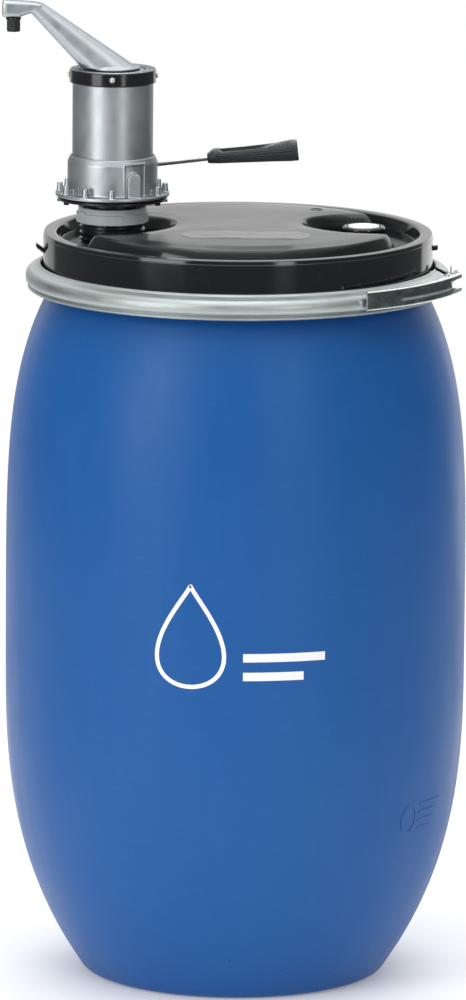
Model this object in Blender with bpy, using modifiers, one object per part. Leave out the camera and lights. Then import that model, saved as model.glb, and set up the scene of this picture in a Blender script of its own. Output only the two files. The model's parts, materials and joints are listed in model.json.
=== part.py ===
"""Open-top plastic drum with a hand lever pump in its lid.

Metres, +Z up. The origin is the centre of the drum's flat base. The pump stands in the
lid's left port, at -X, and the closure lever of the clamp ring is on the right, at +X.
"""
import math

import bmesh
import bpy
from mathutils import Matrix, Vector

MM = 0.001
GAP = 0.3 * MM                    # left between pieces that touch
RUNNING_GAP = 0.15 * MM           # left around a shaft that turns

# Drum: a blown barrel whose outline follows a power curve above and below its belly
BELLY_R = 247.5 * MM
BELLY_Z = 342 * MM
NECK_R = 200 * MM
NECK_Z = 745 * MM
BASE_R = 161 * MM
SHOULDER_POWER = 4.7
BASE_POWER = 2.8
DRUM_WALL = 4 * MM
CHINE_R = 16 * MM
MOUTH_FLANGE_R = 219 * MM
MOUTH_TOP_Z = 755.7 * MM

# Lid
LID_RIM_Z = 805.5 * MM
LID_FLOOR_Z = 793.5 * MM
LID_SKIN = 3.5 * MM
SKIRT_R = 208.5 * MM
RIM_INNER_R = 194.5 * MM
DOME_Z = 812 * MM
DOME_R = 170 * MM
DOME_SLOPE = 5 * MM               # how far the dome's edge spreads down to the lid's floor
PORT_R = 135.4 * MM               # the two ports, on one line through the drum's axis
PORT_ANGLE = math.radians(6.5)
POCKET_R = 65 * MM
POCKETS = (("right", 136 * MM, 22 * MM, 1), ("left", -135 * MM, 4 * MM, -1))

# Clamp ring and its closure
RING_R = 227.2 * MM
RING_TOP_Z = 771.2 * MM
RING_LOW_Z = 745.0 * MM
RING_SHEET = 1.2 * MM
CLOSURE_Z = 760.5 * MM
PIVOT_ANGLE = math.radians(-14.5)
PIVOT_R = 236 * MM
LINK_ANGLE = math.radians(-18.5)
LINK_R = 234 * MM
LINK_HALF = 4.5 * MM              # half the heights of the closure's link and lever
LEVER_HALF = 10.2 * MM
EAR_IN = 6.4 * MM                 # the bracket's ears lie between link and lever
EAR_OUT = 7.9 * MM
HOOK_ANGLE = math.radians(-1.5)
LEVER_END_ANGLE = math.radians(-54)

# Pump, about a vertical axis through the left port
PUMP_X = -PORT_R * math.cos(PORT_ANGLE)
PUMP_Y = -PORT_R * math.sin(PORT_ANGLE)
NECK_TOP_Z = 824.5 * MM
PLATE_TOP_Z = 845.0 * MM
FLANGE_R = 60.8 * MM
FLANGE_TOP_Z = 849.5 * MM
HOUSING_R = 48 * MM
HOUSING_TOP_Z = 889 * MM
BARREL_R = 43 * MM
BARREL_BORE_R = 39 * MM
BARREL_TOP_Z = 970.2 * MM
BAND_R = 46.2 * MM
BAND_LOW_Z = 967.0 * MM
COVER_TOP_Z = 981.5 * MM
SCREW_CIRCLE_R = 56 * MM
SCREWS = 12

# Hand lever and crank: the shaft runs along Y
SHAFT_X = 24 * MM                 # from the pump's axis
SHAFT_Z = 867.5 * MM
SHAFT_R = 5 * MM
LEVER_Y = 60 * MM                 # plane of the hand lever, behind the housing
LEVER_RISE = math.radians(6.8)
CRANK_LENGTH = 28 * MM
CRANK_ANGLE = math.radians(150)   # crank direction at rest, seen from the front

# Turned pieces share these segment counts, so that their flats lie parallel
DRUM_SEGMENTS = 40
PUMP_SEGMENTS = 28
SMALL_SEGMENTS = 20
TINY_SEGMENTS = 8                 # screws and their holes
SHARP_ANGLE = math.radians(35)    # edges that turn more than this are shaded sharp


# ---------------------------------------------------------------- scene and materials

def clear_scene():
    for old in list(bpy.data.objects):
        bpy.data.objects.remove(old, do_unlink=True)


def make_collection(name):
    collection = bpy.data.collections.new(name)
    bpy.context.scene.collection.children.link(collection)
    return collection


def make_material(name, colour, roughness, metallic):
    material = bpy.data.materials.new(name)
    material.use_nodes = True
    shader = material.node_tree.nodes["Principled BSDF"]
    shader.inputs["Base Color"].default_value = (*colour, 1.0)
    shader.inputs["Roughness"].default_value = roughness
    shader.inputs["Metallic"].default_value = metallic
    return material


clear_scene()
PARTS = make_collection("drum_with_hand_pump")
CUTTERS = make_collection("cutters")

BLUE_HDPE = make_material("blue_hdpe", (0.035, 0.13, 0.42), 0.45, 0.0)
BLACK_PLASTIC = make_material("black_plastic", (0.012, 0.013, 0.014), 0.35, 0.0)
GALVANISED = make_material("galvanised_steel", (0.55, 0.58, 0.57), 0.42, 1.0)
ZINC_STEEL = make_material("zinc_plated_steel", (0.45, 0.46, 0.46), 0.3, 1.0)
CAST_SILVER = make_material("silver_casting", (0.46, 0.47, 0.47), 0.4, 1.0)
GREY_PLASTIC = make_material("grey_plastic", (0.27, 0.32, 0.36), 0.5, 0.0)
WHITE_PLASTIC = make_material("white_plastic", (0.85, 0.85, 0.83), 0.4, 0.0)
RUBBER = make_material("seal_rubber", (0.02, 0.02, 0.02), 0.8, 0.0)
BRASS = make_material("brass", (0.55, 0.4, 0.16), 0.35, 1.0)


# ---------------------------------------------------------------- modelling helpers

def add_object(name, mesh, material=None, origin=(0, 0, 0)):
    """Add a part, or a cutter when it has no material."""
    obj = bpy.data.objects.new(name, mesh)
    obj.location = origin
    if material is None:
        CUTTERS.objects.link(obj)
        obj.display_type = "WIRE"
        obj.hide_render = True
    else:
        PARTS.objects.link(obj)
        mesh.materials.append(material)
    return obj


def turned(name, profile, material=None, origin=(0, 0, 0), segments=PUMP_SEGMENTS):
    """Turn a profile of (radius, height) about Z.

    The profile runs down its outer side. It starts and ends on the axis for a solid
    piece, and otherwise closes on itself as a ring.
    """
    solid = profile[0][0] == 0.0
    edges = [(i, i + 1) for i in range(len(profile) - 1)]
    if not solid:
        edges.append((len(profile) - 1, 0))
    mesh = bpy.data.meshes.new(name)
    mesh.from_pydata([(r, 0.0, z) for r, z in profile], edges, [])
    obj = add_object(name, mesh, material, origin)
    screw = obj.modifiers.new("turn", "SCREW")
    screw.steps = segments
    screw.render_steps = segments
    screw.use_merge_vertices = True
    screw.merge_threshold = 0.01 * MM
    return obj


def disc(radius, low, high):
    return [(0.0, high), (radius, high), (radius, low), (0.0, low)]


def ring(inner, outer, low, high):
    return [(inner, high), (outer, high), (outer, low), (inner, low)]


def cylinder(name, start, end, radius, material=None, origin=(0, 0, 0), segments=SMALL_SEGMENTS):
    """A cylinder between two points of the piece's own frame."""
    start, end = Vector(start), Vector(end)
    direction = end - start
    turn = direction.to_track_quat("Z", "Y").to_matrix().to_4x4()
    place = Matrix.Translation((start + end) / 2) @ turn
    bm = bmesh.new()
    bmesh.ops.create_cone(bm, cap_ends=True, segments=segments, radius1=radius, radius2=radius,
                          depth=direction.length, matrix=place)
    return finish_bmesh(name, bm, material, origin)


def box(name, low, high, material=None, origin=(0, 0, 0)):
    low, high = Vector(low), Vector(high)
    place = Matrix.Translation((low + high) / 2) @ Matrix.Diagonal((*(high - low), 1.0))
    bm = bmesh.new()
    bmesh.ops.create_cube(bm, size=1.0, matrix=place)
    return finish_bmesh(name, bm, material, origin)


def prism(name, outline, low, high, material=None, origin=(0, 0, 0), along="Z"):
    """Extrude an outline, whose points are (x, y), or (x, z) when it runs along Y."""
    bm = bmesh.new()
    corners = [bm.verts.new((x, y, low)) for x, y in outline]
    face = bm.faces.new(corners)
    grown = bmesh.ops.extrude_face_region(bm, geom=[face])
    top = [item for item in grown["geom"] if isinstance(item, bmesh.types.BMVert)]
    bmesh.ops.translate(bm, verts=top, vec=(0, 0, high - low))
    if along == "Y":
        swap = Matrix(((1, 0, 0, 0), (0, 0, 1, 0), (0, 1, 0, 0), (0, 0, 0, 1)))
        bmesh.ops.transform(bm, matrix=swap, verts=bm.verts)
    return finish_bmesh(name, bm, material, origin)


def loft(name, sections, material=None, origin=(0, 0, 0)):
    """Join rings of equally many points, with a flat cap at each end."""
    bm = bmesh.new()
    rings = [[bm.verts.new(point) for point in section] for section in sections]
    count = len(rings[0])
    for lower, upper in zip(rings, rings[1:]):
        for i in range(count):
            j = (i + 1) % count
            bm.faces.new((lower[i], lower[j], upper[j], upper[i]))
    bm.faces.new(rings[0])
    bm.faces.new(rings[-1])
    return finish_bmesh(name, bm, material, origin)


def finish_bmesh(name, bm, material, origin):
    bmesh.ops.recalc_face_normals(bm, faces=bm.faces)
    mesh = bpy.data.meshes.new(name)
    bm.to_mesh(mesh)
    bm.free()
    return add_object(name, mesh, material, origin)


def combine(target, operation, others, solver):
    """The manifold solver is for the pieces that the exact one leaves with open slits."""
    for other in others:
        step = target.modifiers.new(other.name, "BOOLEAN")
        step.operation = operation
        step.solver = solver
        step.object = other
    return target


def cut(target, *cutters, solver="EXACT"):
    return combine(target, "DIFFERENCE", cutters, solver)


def join(target, *helpers, solver="EXACT"):
    return combine(target, "UNION", helpers, solver)


def polar(radius, angle, z=None):
    if z is None:
        return (radius * math.cos(angle), radius * math.sin(angle))
    return (radius * math.cos(angle), radius * math.sin(angle), z)


def arc_points(centre, radius, start, end, count):
    """Points of an arc, with both of its ends."""
    cx, cy = centre
    angles = [start + (end - start) * i / (count - 1) for i in range(count)]
    return [(cx + radius * math.cos(a), cy + radius * math.sin(a)) for a in angles]


def tapered_bar(first, first_r, second, second_r, count=9):
    """Outline of two round ends joined by straight sides."""
    direction = math.atan2(second[1] - first[1], second[0] - first[0])
    quarter = math.pi / 2
    return (arc_points(first, first_r, direction + quarter, direction + 3 * quarter, count)
            + arc_points(second, second_r, direction - quarter, direction + quarter, count))


def superellipse(centre_x, half_x, half_y, z, power=3.0):
    """A rounded rectangle in the horizontal plane z."""
    count = 16
    points = []
    for i in range(count):
        a = 2 * math.pi * (i + 0.5) / count
        c, s = math.cos(a), math.sin(a)
        x = half_x * math.copysign(abs(c) ** (2 / power), c)
        y = half_y * math.copysign(abs(s) ** (2 / power), s)
        points.append((centre_x + x, y, z))
    return points


PUMP_ORIGIN = (PUMP_X, PUMP_Y, 0.0)


# ---------------------------------------------------------------- drum

def barrel_radius(z):
    """Outer radius of the barrel at a height."""
    if z > BELLY_Z:
        t = (z - BELLY_Z) / (NECK_Z - BELLY_Z)
        return BELLY_R - (BELLY_R - NECK_R) * t ** SHOULDER_POWER
    t = (BELLY_Z - z) / BELLY_Z
    return BELLY_R - (BELLY_R - BASE_R) * t ** BASE_POWER


def chine(radius):
    """Rounded corner between wall and base, about one centre for both faces of the wall."""
    wall_slope = math.radians(35)
    foot_z = CHINE_R * (1 - math.sin(wall_slope))
    centre = (barrel_radius(foot_z) - CHINE_R * math.cos(wall_slope), CHINE_R)
    return arc_points(centre, radius, -wall_slope, -math.pi / 2, 4)


def build_drum_shell():
    steps = 11
    heights = [NECK_Z - (NECK_Z - 2 * CHINE_R) * i / steps for i in range(steps + 1)]
    flange_low_z = MOUTH_TOP_Z - 6 * MM
    outside = [(MOUTH_FLANGE_R, MOUTH_TOP_Z), (MOUTH_FLANGE_R, flange_low_z),
               (NECK_R + 0.5 * MM, flange_low_z)]
    outside += [(barrel_radius(z), z) for z in heights]
    outside += chine(CHINE_R)
    inside = [(r - DRUM_WALL, z) for r, z in outside[3:3 + len(heights)]]
    inside += chine(CHINE_R - DRUM_WALL)
    inside.reverse()
    mouth = [(NECK_R - DRUM_WALL, MOUTH_TOP_Z)]
    # the profile ends on the axis twice: the base's under side and its upper side
    outline = [(0.0, DRUM_WALL)] + inside + mouth + outside + [(0.0, 0.0)]
    turned("drum_shell", outline, BLUE_HDPE, segments=DRUM_SEGMENTS)


def build_lid():
    soft = 2.5 * MM
    flange_low_z = 759 * MM
    flange_top_z = 762.6 * MM
    skirt_foot_z = 770.5 * MM
    plug_seat_z = 797.5 * MM
    under_rim_z = LID_RIM_Z - LID_SKIN
    floor_low_z = LID_FLOOR_Z - LID_SKIN
    profile = [
        (0.0, LID_FLOOR_Z),
        (RIM_INNER_R - 4 * MM, LID_FLOOR_Z),
        (RIM_INNER_R, LID_RIM_Z - soft),
        (RIM_INNER_R + soft, LID_RIM_Z),
        (SKIRT_R - soft, LID_RIM_Z),
        (SKIRT_R, LID_RIM_Z - soft),
        (SKIRT_R, skirt_foot_z),
        (SKIRT_R + soft, skirt_foot_z - 1.5 * MM),
        (221 * MM, flange_top_z),
        (221.5 * MM, flange_low_z),
        (NECK_R - 0.5 * MM, flange_low_z),
        (NECK_R - 0.5 * MM, flange_low_z + 4.5 * MM),
        (SKIRT_R - LID_SKIN, skirt_foot_z - 2 * MM),
        (SKIRT_R - LID_SKIN, under_rim_z),
        (RIM_INNER_R + LID_SKIN, under_rim_z),
        (RIM_INNER_R - 4 * MM + LID_SKIN, floor_low_z),
        (0.0, floor_low_z),
    ]
    lid = turned("drum_lid", profile, BLACK_PLASTIC, segments=DRUM_SEGMENTS)
    dome = turned("dome_form", dome_profile(0.0, floor_low_z + MM), segments=DRUM_SEGMENTS)
    hollow = turned("dome_hollow", dome_profile(LID_SKIN, floor_low_z - MM), segments=DRUM_SEGMENTS)
    for side, x, y, outward in POCKETS:
        cut(dome, pocket_form("pocket_" + side, (x, y), outward, POCKET_R, floor_low_z),
            solver="MANIFOLD")
        cut(hollow, pocket_form("pocket_wall_" + side, (x, y), outward, POCKET_R + LID_SKIN,
                                floor_low_z - 2 * MM), solver="MANIFOLD")
    join(lid, dome, solver="MANIFOLD")
    cut(lid, hollow, solver="MANIFOLD")
    left_neck = turned("left_neck", disc(35 * MM, floor_low_z + MM, NECK_TOP_Z), origin=PUMP_ORIGIN)
    right_neck = turned("right_neck", disc(23.2 * MM, floor_low_z + MM, 809.5 * MM),
                        origin=(-PUMP_X, -PUMP_Y, 0))
    join(lid, left_neck, right_neck, solver="MANIFOLD")
    cut(lid,
        turned("left_bore", disc(25.5 * MM, 785 * MM, 830 * MM), origin=PUMP_ORIGIN),
        turned("right_bore", disc(17.2 * MM, plug_seat_z, 815 * MM), origin=(-PUMP_X, -PUMP_Y, 0)),
        turned("right_hole", disc(12.8 * MM, 785 * MM, plug_seat_z + 2.5 * MM),
               origin=(-PUMP_X, -PUMP_Y, 0)),
        solver="MANIFOLD")
    for side, turn, reach, half in (("right", 0.0, 5.5 * MM, 3 * MM),
                                    ("left", math.pi + math.radians(6), 8.5 * MM, 5 * MM)):
        lug = box("skirt_lug_" + side, (SKIRT_R - 2 * MM, -half, 781 * MM),
                  (SKIRT_R + reach, half, 792 * MM))
        lug.rotation_euler = (0, 0, turn)
        join(lid, lug, solver="MANIFOLD")


def dome_profile(skin, low_z):
    """The raised middle of the lid, slightly crowned; skin is taken off every face."""
    foot_r = DOME_R + DOME_SLOPE
    return [
        (0.0, DOME_Z + 2.5 * MM - skin),
        (DOME_R - 8 * MM - skin, DOME_Z - skin),
        (DOME_R - skin, DOME_Z - 3 * MM - skin),
        (foot_r - skin, LID_FLOOR_Z),
        (foot_r - skin, low_z),
        (0.0, low_z),
    ]


def pocket_form(name, centre, outward, radius, low_z):
    """Cuts a pocket that is round about a port and opens straight out of the dome."""
    x, y = centre
    reach = outward * (DOME_R + 40 * MM)
    outline = [(x - outward * radius * math.cos(a), y + radius * math.sin(a))
               for a in [math.pi * (i / 16 - 0.5) for i in range(17)]]
    outline = outline + [(reach, y + radius), (reach, y - radius)]
    return prism(name, outline, low_z, DOME_Z + 20 * MM)


def build_clamp_ring():
    outside = [
        (211.0 * MM, RING_TOP_Z), (223.5 * MM, 763.2 * MM), (RING_R, 759.5 * MM),
        (226.8 * MM, 752.5 * MM), (223.0 * MM, 749.0 * MM), (216.5 * MM, RING_LOW_Z),
    ]
    centre = Vector((212 * MM, 757 * MM))
    inside = []
    for before, here, after in zip([outside[0]] + outside, outside, outside[1:] + [outside[-1]]):
        along = Vector(after) - Vector(before)
        normal = Vector((along.y, -along.x)).normalized()
        if normal.dot(centre - Vector(here)) < 0:
            normal = -normal
        inside.append(tuple(Vector(here) + normal * RING_SHEET))
    sheet = turned("clamp_ring", outside + inside[::-1], GALVANISED, segments=DRUM_SEGMENTS)
    split = box("ring_split", (190 * MM, -9 * MM, 730 * MM), (250 * MM, 9 * MM, 790 * MM))
    split.rotation_euler = (0, 0, math.radians(-6.5))
    cut(sheet, split)
    turned("lid_gasket", ring(201 * MM, 217 * MM, MOUTH_TOP_Z + GAP, 758.7 * MM), RUBBER,
           segments=DRUM_SEGMENTS)


# ---------------------------------------------------------------- clamp ring closure

def arc_strip(inner, outer, start, end, count=11):
    """Outline between two radii that are functions of the angle."""
    angles = [start + (end - start) * i / (count - 1) for i in range(count)]
    return ([polar(outer(a), a) for a in angles] + [polar(inner(a), a) for a in reversed(angles)])


def lever_outer_radius(angle):
    """The closure lever lies close to the ring at its free end and stands off at its pivot."""
    start = PIVOT_ANGLE + math.radians(2)
    t = (angle - start) / (LEVER_END_ANGLE - start)
    return 246 * MM - 13 * MM * t ** 0.8


def build_closure_lever():
    """A channel about the link: a web, and a cheek above and below that is deepest at the pivot."""
    start = PIVOT_ANGLE + math.radians(0.9)
    sheet = 1.5 * MM
    half = LEVER_HALF
    lip, pivot_depth = 3 * MM, 13 * MM

    def web_inner(a):
        return lever_outer_radius(a) - sheet

    def cheek_inner(a):
        t = (a - start) / (LEVER_END_ANGLE - start)
        return lever_outer_radius(a) - lip - pivot_depth * max(0.0, 1 - t * 2.6)

    lever = prism("closure_lever", arc_strip(web_inner, lever_outer_radius, start, LEVER_END_ANGLE),
                  CLOSURE_Z - half, CLOSURE_Z + half, ZINC_STEEL)
    cheek = arc_strip(cheek_inner, lambda a: lever_outer_radius(a) - 0.2 * MM,
                      start - math.radians(0.05), LEVER_END_ANGLE + math.radians(0.05))
    join(lever,
         prism("upper_cheek", cheek, CLOSURE_Z + half - sheet, CLOSURE_Z + half - 0.1 * MM),
         prism("lower_cheek", cheek, CLOSURE_Z - half + 0.1 * MM, CLOSURE_Z - half + sheet))
    # the link swings out through a notch in the web's end
    notch = arc_strip(lambda a: lever_outer_radius(a) - 5 * MM, lambda a: lever_outer_radius(a) + 5 * MM,
                      start + math.radians(1), LINK_ANGLE - math.radians(2))
    cut(lever, prism("link_notch", notch, CLOSURE_Z - LINK_HALF - MM, CLOSURE_Z + LINK_HALF + MM))
    pivot = polar(PIVOT_R, PIVOT_ANGLE)
    link_pivot = polar(LINK_R, LINK_ANGLE)
    hole_reach = 14 * MM
    for name, (x, y) in (("pivot_hole", pivot), ("link_hole", link_pivot)):
        cut(lever, cylinder(name, (x, y, CLOSURE_Z - hole_reach), (x, y, CLOSURE_Z + hole_reach),
                            2 * MM + GAP))
    # two short rivets join lever and bracket above and below the link
    for name, sign in (("lever_rivet_top", 1), ("lever_rivet_bottom", -1)):
        ends = sorted((CLOSURE_Z + sign * (EAR_IN - 0.6 * MM), CLOSURE_Z + sign * (LEVER_HALF + 0.7 * MM)))
        cylinder(name, (*pivot, ends[0]), (*pivot, ends[1]), 2 * MM, ZINC_STEEL)
    pin_half = LEVER_HALF + 0.7 * MM
    cylinder("link_pin", (*link_pivot, CLOSURE_Z - pin_half), (*link_pivot, CLOSURE_Z + pin_half),
             2 * MM, ZINC_STEEL)


def build_lever_bracket():
    """Base plate on the ring, with an ear above and below the link."""
    start, end = PIVOT_ANGLE - math.radians(1.3), PIVOT_ANGLE + math.radians(1.3)
    inner = RING_R + GAP
    base = arc_strip(lambda a: inner, lambda a: inner + 1.5 * MM, start, end, 5)
    half = EAR_OUT + 0.1 * MM
    bracket = prism("lever_bracket", base, CLOSURE_Z - half, CLOSURE_Z + half, ZINC_STEEL)
    ear_r = PIVOT_R + 3.6 * MM
    ear = arc_strip(lambda a: inner + 0.2 * MM, lambda a: ear_r, start + math.radians(0.1),
                    end - math.radians(0.1), 5)
    pivot = polar(PIVOT_R, PIVOT_ANGLE)
    join(bracket,
         prism("upper_ear", ear, CLOSURE_Z + EAR_IN, CLOSURE_Z + EAR_OUT),
         prism("lower_ear", ear, CLOSURE_Z - EAR_OUT, CLOSURE_Z - EAR_IN))
    cut(bracket, cylinder("bracket_hole", (*pivot, CLOSURE_Z - 14 * MM), (*pivot, CLOSURE_Z + 14 * MM),
                          2 * MM + GAP))


def build_closure_link():
    """A plate from the lever's pin, over the ring's split, to the hook lug."""
    near = Vector(polar(LINK_R, LINK_ANGLE))
    far = Vector(polar(LINK_R, HOOK_ANGLE + math.radians(1.2)))
    along = (far - near).normalized()
    outward = Vector((along.y, -along.x))
    length = (far - near).length
    half, plate = LINK_HALF, 1.25 * MM
    outline = [(0.0, -plate), (length, -plate), (length, plate), (0.0, plate)]

    def place(points):
        return [tuple(near + along * u + outward * v) for u, v in points]

    link = prism("closure_link", place(outline), CLOSURE_Z - half, CLOSURE_Z + half, ZINC_STEEL)
    join(link, cylinder("link_eye", (*near, CLOSURE_Z - half), (*near, CLOSURE_Z + half), 3.6 * MM))
    cut(link, cylinder("link_eye_hole", (*near, CLOSURE_Z - 2 * half), (*near, CLOSURE_Z + 2 * half),
                       2 * MM + RUNNING_GAP))
    lug_u = length - 5.2 * MM
    window = [(lug_u - 3.5 * MM, -8 * MM), (lug_u + 2.7 * MM, -8 * MM),
              (lug_u + 2.7 * MM, 8 * MM), (lug_u - 3.5 * MM, 8 * MM)]
    cut(link, prism("link_window", place(window), CLOSURE_Z - 3.2 * MM, CLOSURE_Z + 3.2 * MM))
    # the lug stands square to the link, on a pad that is spot welded to the ring
    inner = RING_R + GAP
    pad = arc_strip(lambda a: inner, lambda a: inner + 1.2 * MM, HOOK_ANGLE - math.radians(2),
                    HOOK_ANGLE + math.radians(2), 5)
    lug = prism("hook_lug", pad, CLOSURE_Z - 9 * MM, CLOSURE_Z + 9 * MM, ZINC_STEEL)
    foot_v = -(LINK_R - inner) + 0.8 * MM
    post = [(lug_u - 1.5 * MM, foot_v), (lug_u + 1.5 * MM, foot_v),
            (lug_u + 1.5 * MM, 4 * MM), (lug_u - 1.5 * MM, 4 * MM)]
    join(lug, prism("hook_post", place(post), CLOSURE_Z - 2.5 * MM, CLOSURE_Z + 2.5 * MM))


# ---------------------------------------------------------------- bung plug

def build_bung():
    origin = (-PUMP_X, -PUMP_Y, 0)
    plug = turned("bung_plug", disc(16.7 * MM, 800 * MM, 810 * MM), WHITE_PLASTIC, origin=origin,
                  segments=SMALL_SEGMENTS)
    hexagon = arc_points((0, 0), 7 * MM, 0, 2 * math.pi * 5 / 6, 6)
    cut(plug, prism("plug_recess", hexagon, 807.5 * MM, 815 * MM, origin=origin))
    turned("bung_gasket", ring(13 * MM, 16.7 * MM, 797.8 * MM, 799.7 * MM), RUBBER, origin=origin,
           segments=SMALL_SEGMENTS)


# ---------------------------------------------------------------- pump: base and nut

def build_union_nut():
    profile = [
        (31.0 * MM, 834 * MM), (36.2 * MM, 834 * MM), (36.6 * MM, 830 * MM), (38.2 * MM, 828 * MM),
        (38.2 * MM, 818.5 * MM), (37.4 * MM, 817.5 * MM), (35.4 * MM, 817.5 * MM),
        (35.4 * MM, 830.3 * MM), (31.0 * MM, 830.3 * MM),
    ]
    nut = turned("union_nut", profile, GREY_PLASTIC, origin=PUMP_ORIGIN)
    for i in range(4):
        rib = box("nut_rib_%d" % (i + 1), (37 * MM, -4 * MM, 817.7 * MM), (41.2 * MM, 4 * MM, 827.5 * MM),
                  origin=PUMP_ORIGIN)
        rib.rotation_euler = (0, 0, math.radians(30 + 90 * i))
        join(nut, rib)
    turned("neck_gasket", ring(26 * MM, 32 * MM, NECK_TOP_Z + GAP, 826.3 * MM), RUBBER,
           origin=PUMP_ORIGIN, segments=SMALL_SEGMENTS)


def build_base_plate():
    low_z = 841.5 * MM
    seat_z = 821.5 * MM
    profile = [
        (20 * MM, PLATE_TOP_Z - MM), (58.5 * MM, PLATE_TOP_Z - MM), (58.5 * MM, low_z), (30.5 * MM, low_z),
        (30.5 * MM, 830 * MM), (34.5 * MM, 830 * MM), (34.5 * MM, 826.6 * MM),
        (24.5 * MM, 826.6 * MM), (24.5 * MM, 800 * MM), (16.3 * MM, 800 * MM),
        (16.3 * MM, 818.5 * MM), (12.5 * MM, 818.5 * MM), (12.5 * MM, seat_z), (20 * MM, seat_z),
    ]
    plate = turned("base_plate", profile, BLACK_PLASTIC, origin=PUMP_ORIGIN)
    turned("base_gasket", ring(41 * MM, 53 * MM, PLATE_TOP_Z - 0.7 * MM, PLATE_TOP_Z + 0.4 * MM), RUBBER,
           origin=PUMP_ORIGIN, segments=SMALL_SEGMENTS)
    drills = []
    for i in range(SCREWS):
        x, y = polar(SCREW_CIRCLE_R, screw_angle(i))
        drills.append(cylinder("base_drill_%02d" % (i + 1), (x, y, 835 * MM), (x, y, 850 * MM), 1.8 * MM,
                               origin=PUMP_ORIGIN, segments=TINY_SEGMENTS))
    cut(plate, *drills, solver="MANIFOLD")
    turned("suction_valve", disc(17 * MM, 821.8 * MM, 823.8 * MM), RUBBER, origin=PUMP_ORIGIN,
           segments=SMALL_SEGMENTS)
    box("valve_stop", (-19.2 * MM, -2.5 * MM, 828.3 * MM), (19.2 * MM, 2.5 * MM, 831.3 * MM), BRASS,
        origin=PUMP_ORIGIN)


def screw_angle(index):
    return math.radians(360 / SCREWS) * index


# ---------------------------------------------------------------- pump: housing

def build_housing():
    low_z = PLATE_TOP_Z + 0.7 * MM
    ledge_z = 880 * MM
    profile = [
        (43.4 * MM, HOUSING_TOP_Z), (44.9 * MM, HOUSING_TOP_Z), (HOUSING_R, 882.5 * MM),
        (HOUSING_R, FLANGE_TOP_Z), (FLANGE_R, FLANGE_TOP_Z), (FLANGE_R, low_z),
        (40 * MM, low_z), (40 * MM, ledge_z), (43.4 * MM, ledge_z),
    ]
    housing = turned("pump_housing", profile, CAST_SILVER, origin=PUMP_ORIGIN)
    arch_r = 7.5 * MM
    arch = (arc_points((SHAFT_X, SHAFT_Z + 2 * MM), arch_r, 0, math.pi, 9)
            + [(SHAFT_X - arch_r, 848 * MM), (SHAFT_X + arch_r, 848 * MM)])
    join(housing,
         prism("front_pillar", arch, -50.5 * MM, -34 * MM, along="Y", origin=PUMP_ORIGIN),
         cylinder("rear_boss", (SHAFT_X, 35 * MM, SHAFT_Z), (SHAFT_X, 53 * MM, SHAFT_Z), 11 * MM,
                  origin=PUMP_ORIGIN),
         solver="MANIFOLD")
    pillar_place = SCREWS - 2
    for i in range(SCREWS):
        x, y = polar(SCREW_CIRCLE_R, screw_angle(i))
        number = "%02d" % (i + 1)
        if i != pillar_place:
            boss = [(0.0, 859 * MM), (2.2 * MM, 858.6 * MM), (3.2 * MM, 857 * MM), (3.2 * MM, 848 * MM),
                    (0.0, 848 * MM)]
            join(housing, turned("boss_" + number, boss, origin=(PUMP_X + x, PUMP_Y + y, 0),
                                 segments=TINY_SEGMENTS), solver="MANIFOLD")
        cut(housing, cylinder("thread_" + number, (x, y, 840 * MM), (x, y, 853.3 * MM), 1.8 * MM,
                              origin=PUMP_ORIGIN, segments=TINY_SEGMENTS), solver="MANIFOLD")
    cut(housing,
        cylinder("chamber_clear", (0, 0, 850 * MM), (0, 0, 870 * MM), 39.9 * MM, origin=PUMP_ORIGIN,
                 segments=PUMP_SEGMENTS),
        cylinder("front_journal", (SHAFT_X, -46 * MM, SHAFT_Z), (SHAFT_X, -20 * MM, SHAFT_Z),
                 SHAFT_R + RUNNING_GAP, origin=PUMP_ORIGIN),
        cylinder("bush_bore", (SHAFT_X, 20 * MM, SHAFT_Z), (SHAFT_X, 60 * MM, SHAFT_Z), 8.1 * MM,
                 origin=PUMP_ORIGIN),
        solver="MANIFOLD")


def build_flange_screws():
    for i in range(SCREWS):
        x, y = polar(SCREW_CIRCLE_R, screw_angle(i))
        profile = [(0.0, 853 * MM), (1.5 * MM, 853 * MM), (1.5 * MM, 841.2 * MM), (2.9 * MM, 841.2 * MM),
                   (2.9 * MM, 838.6 * MM), (0.0, 838.6 * MM)]
        turned("flange_screw_%02d" % (i + 1), profile, ZINC_STEEL,
               origin=(PUMP_X + x, PUMP_Y + y, 0), segments=TINY_SEGMENTS)


# ---------------------------------------------------------------- pump: barrel and cover

def build_barrel():
    turned("pump_barrel", ring(BARREL_BORE_R, BARREL_R, 882.3 * MM, BARREL_TOP_Z), CAST_SILVER,
           origin=PUMP_ORIGIN)
    turned("barrel_gasket", ring(40.3 * MM, 42.8 * MM, 880.3 * MM, 882 * MM), RUBBER, origin=PUMP_ORIGIN,
           segments=SMALL_SEGMENTS)


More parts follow.
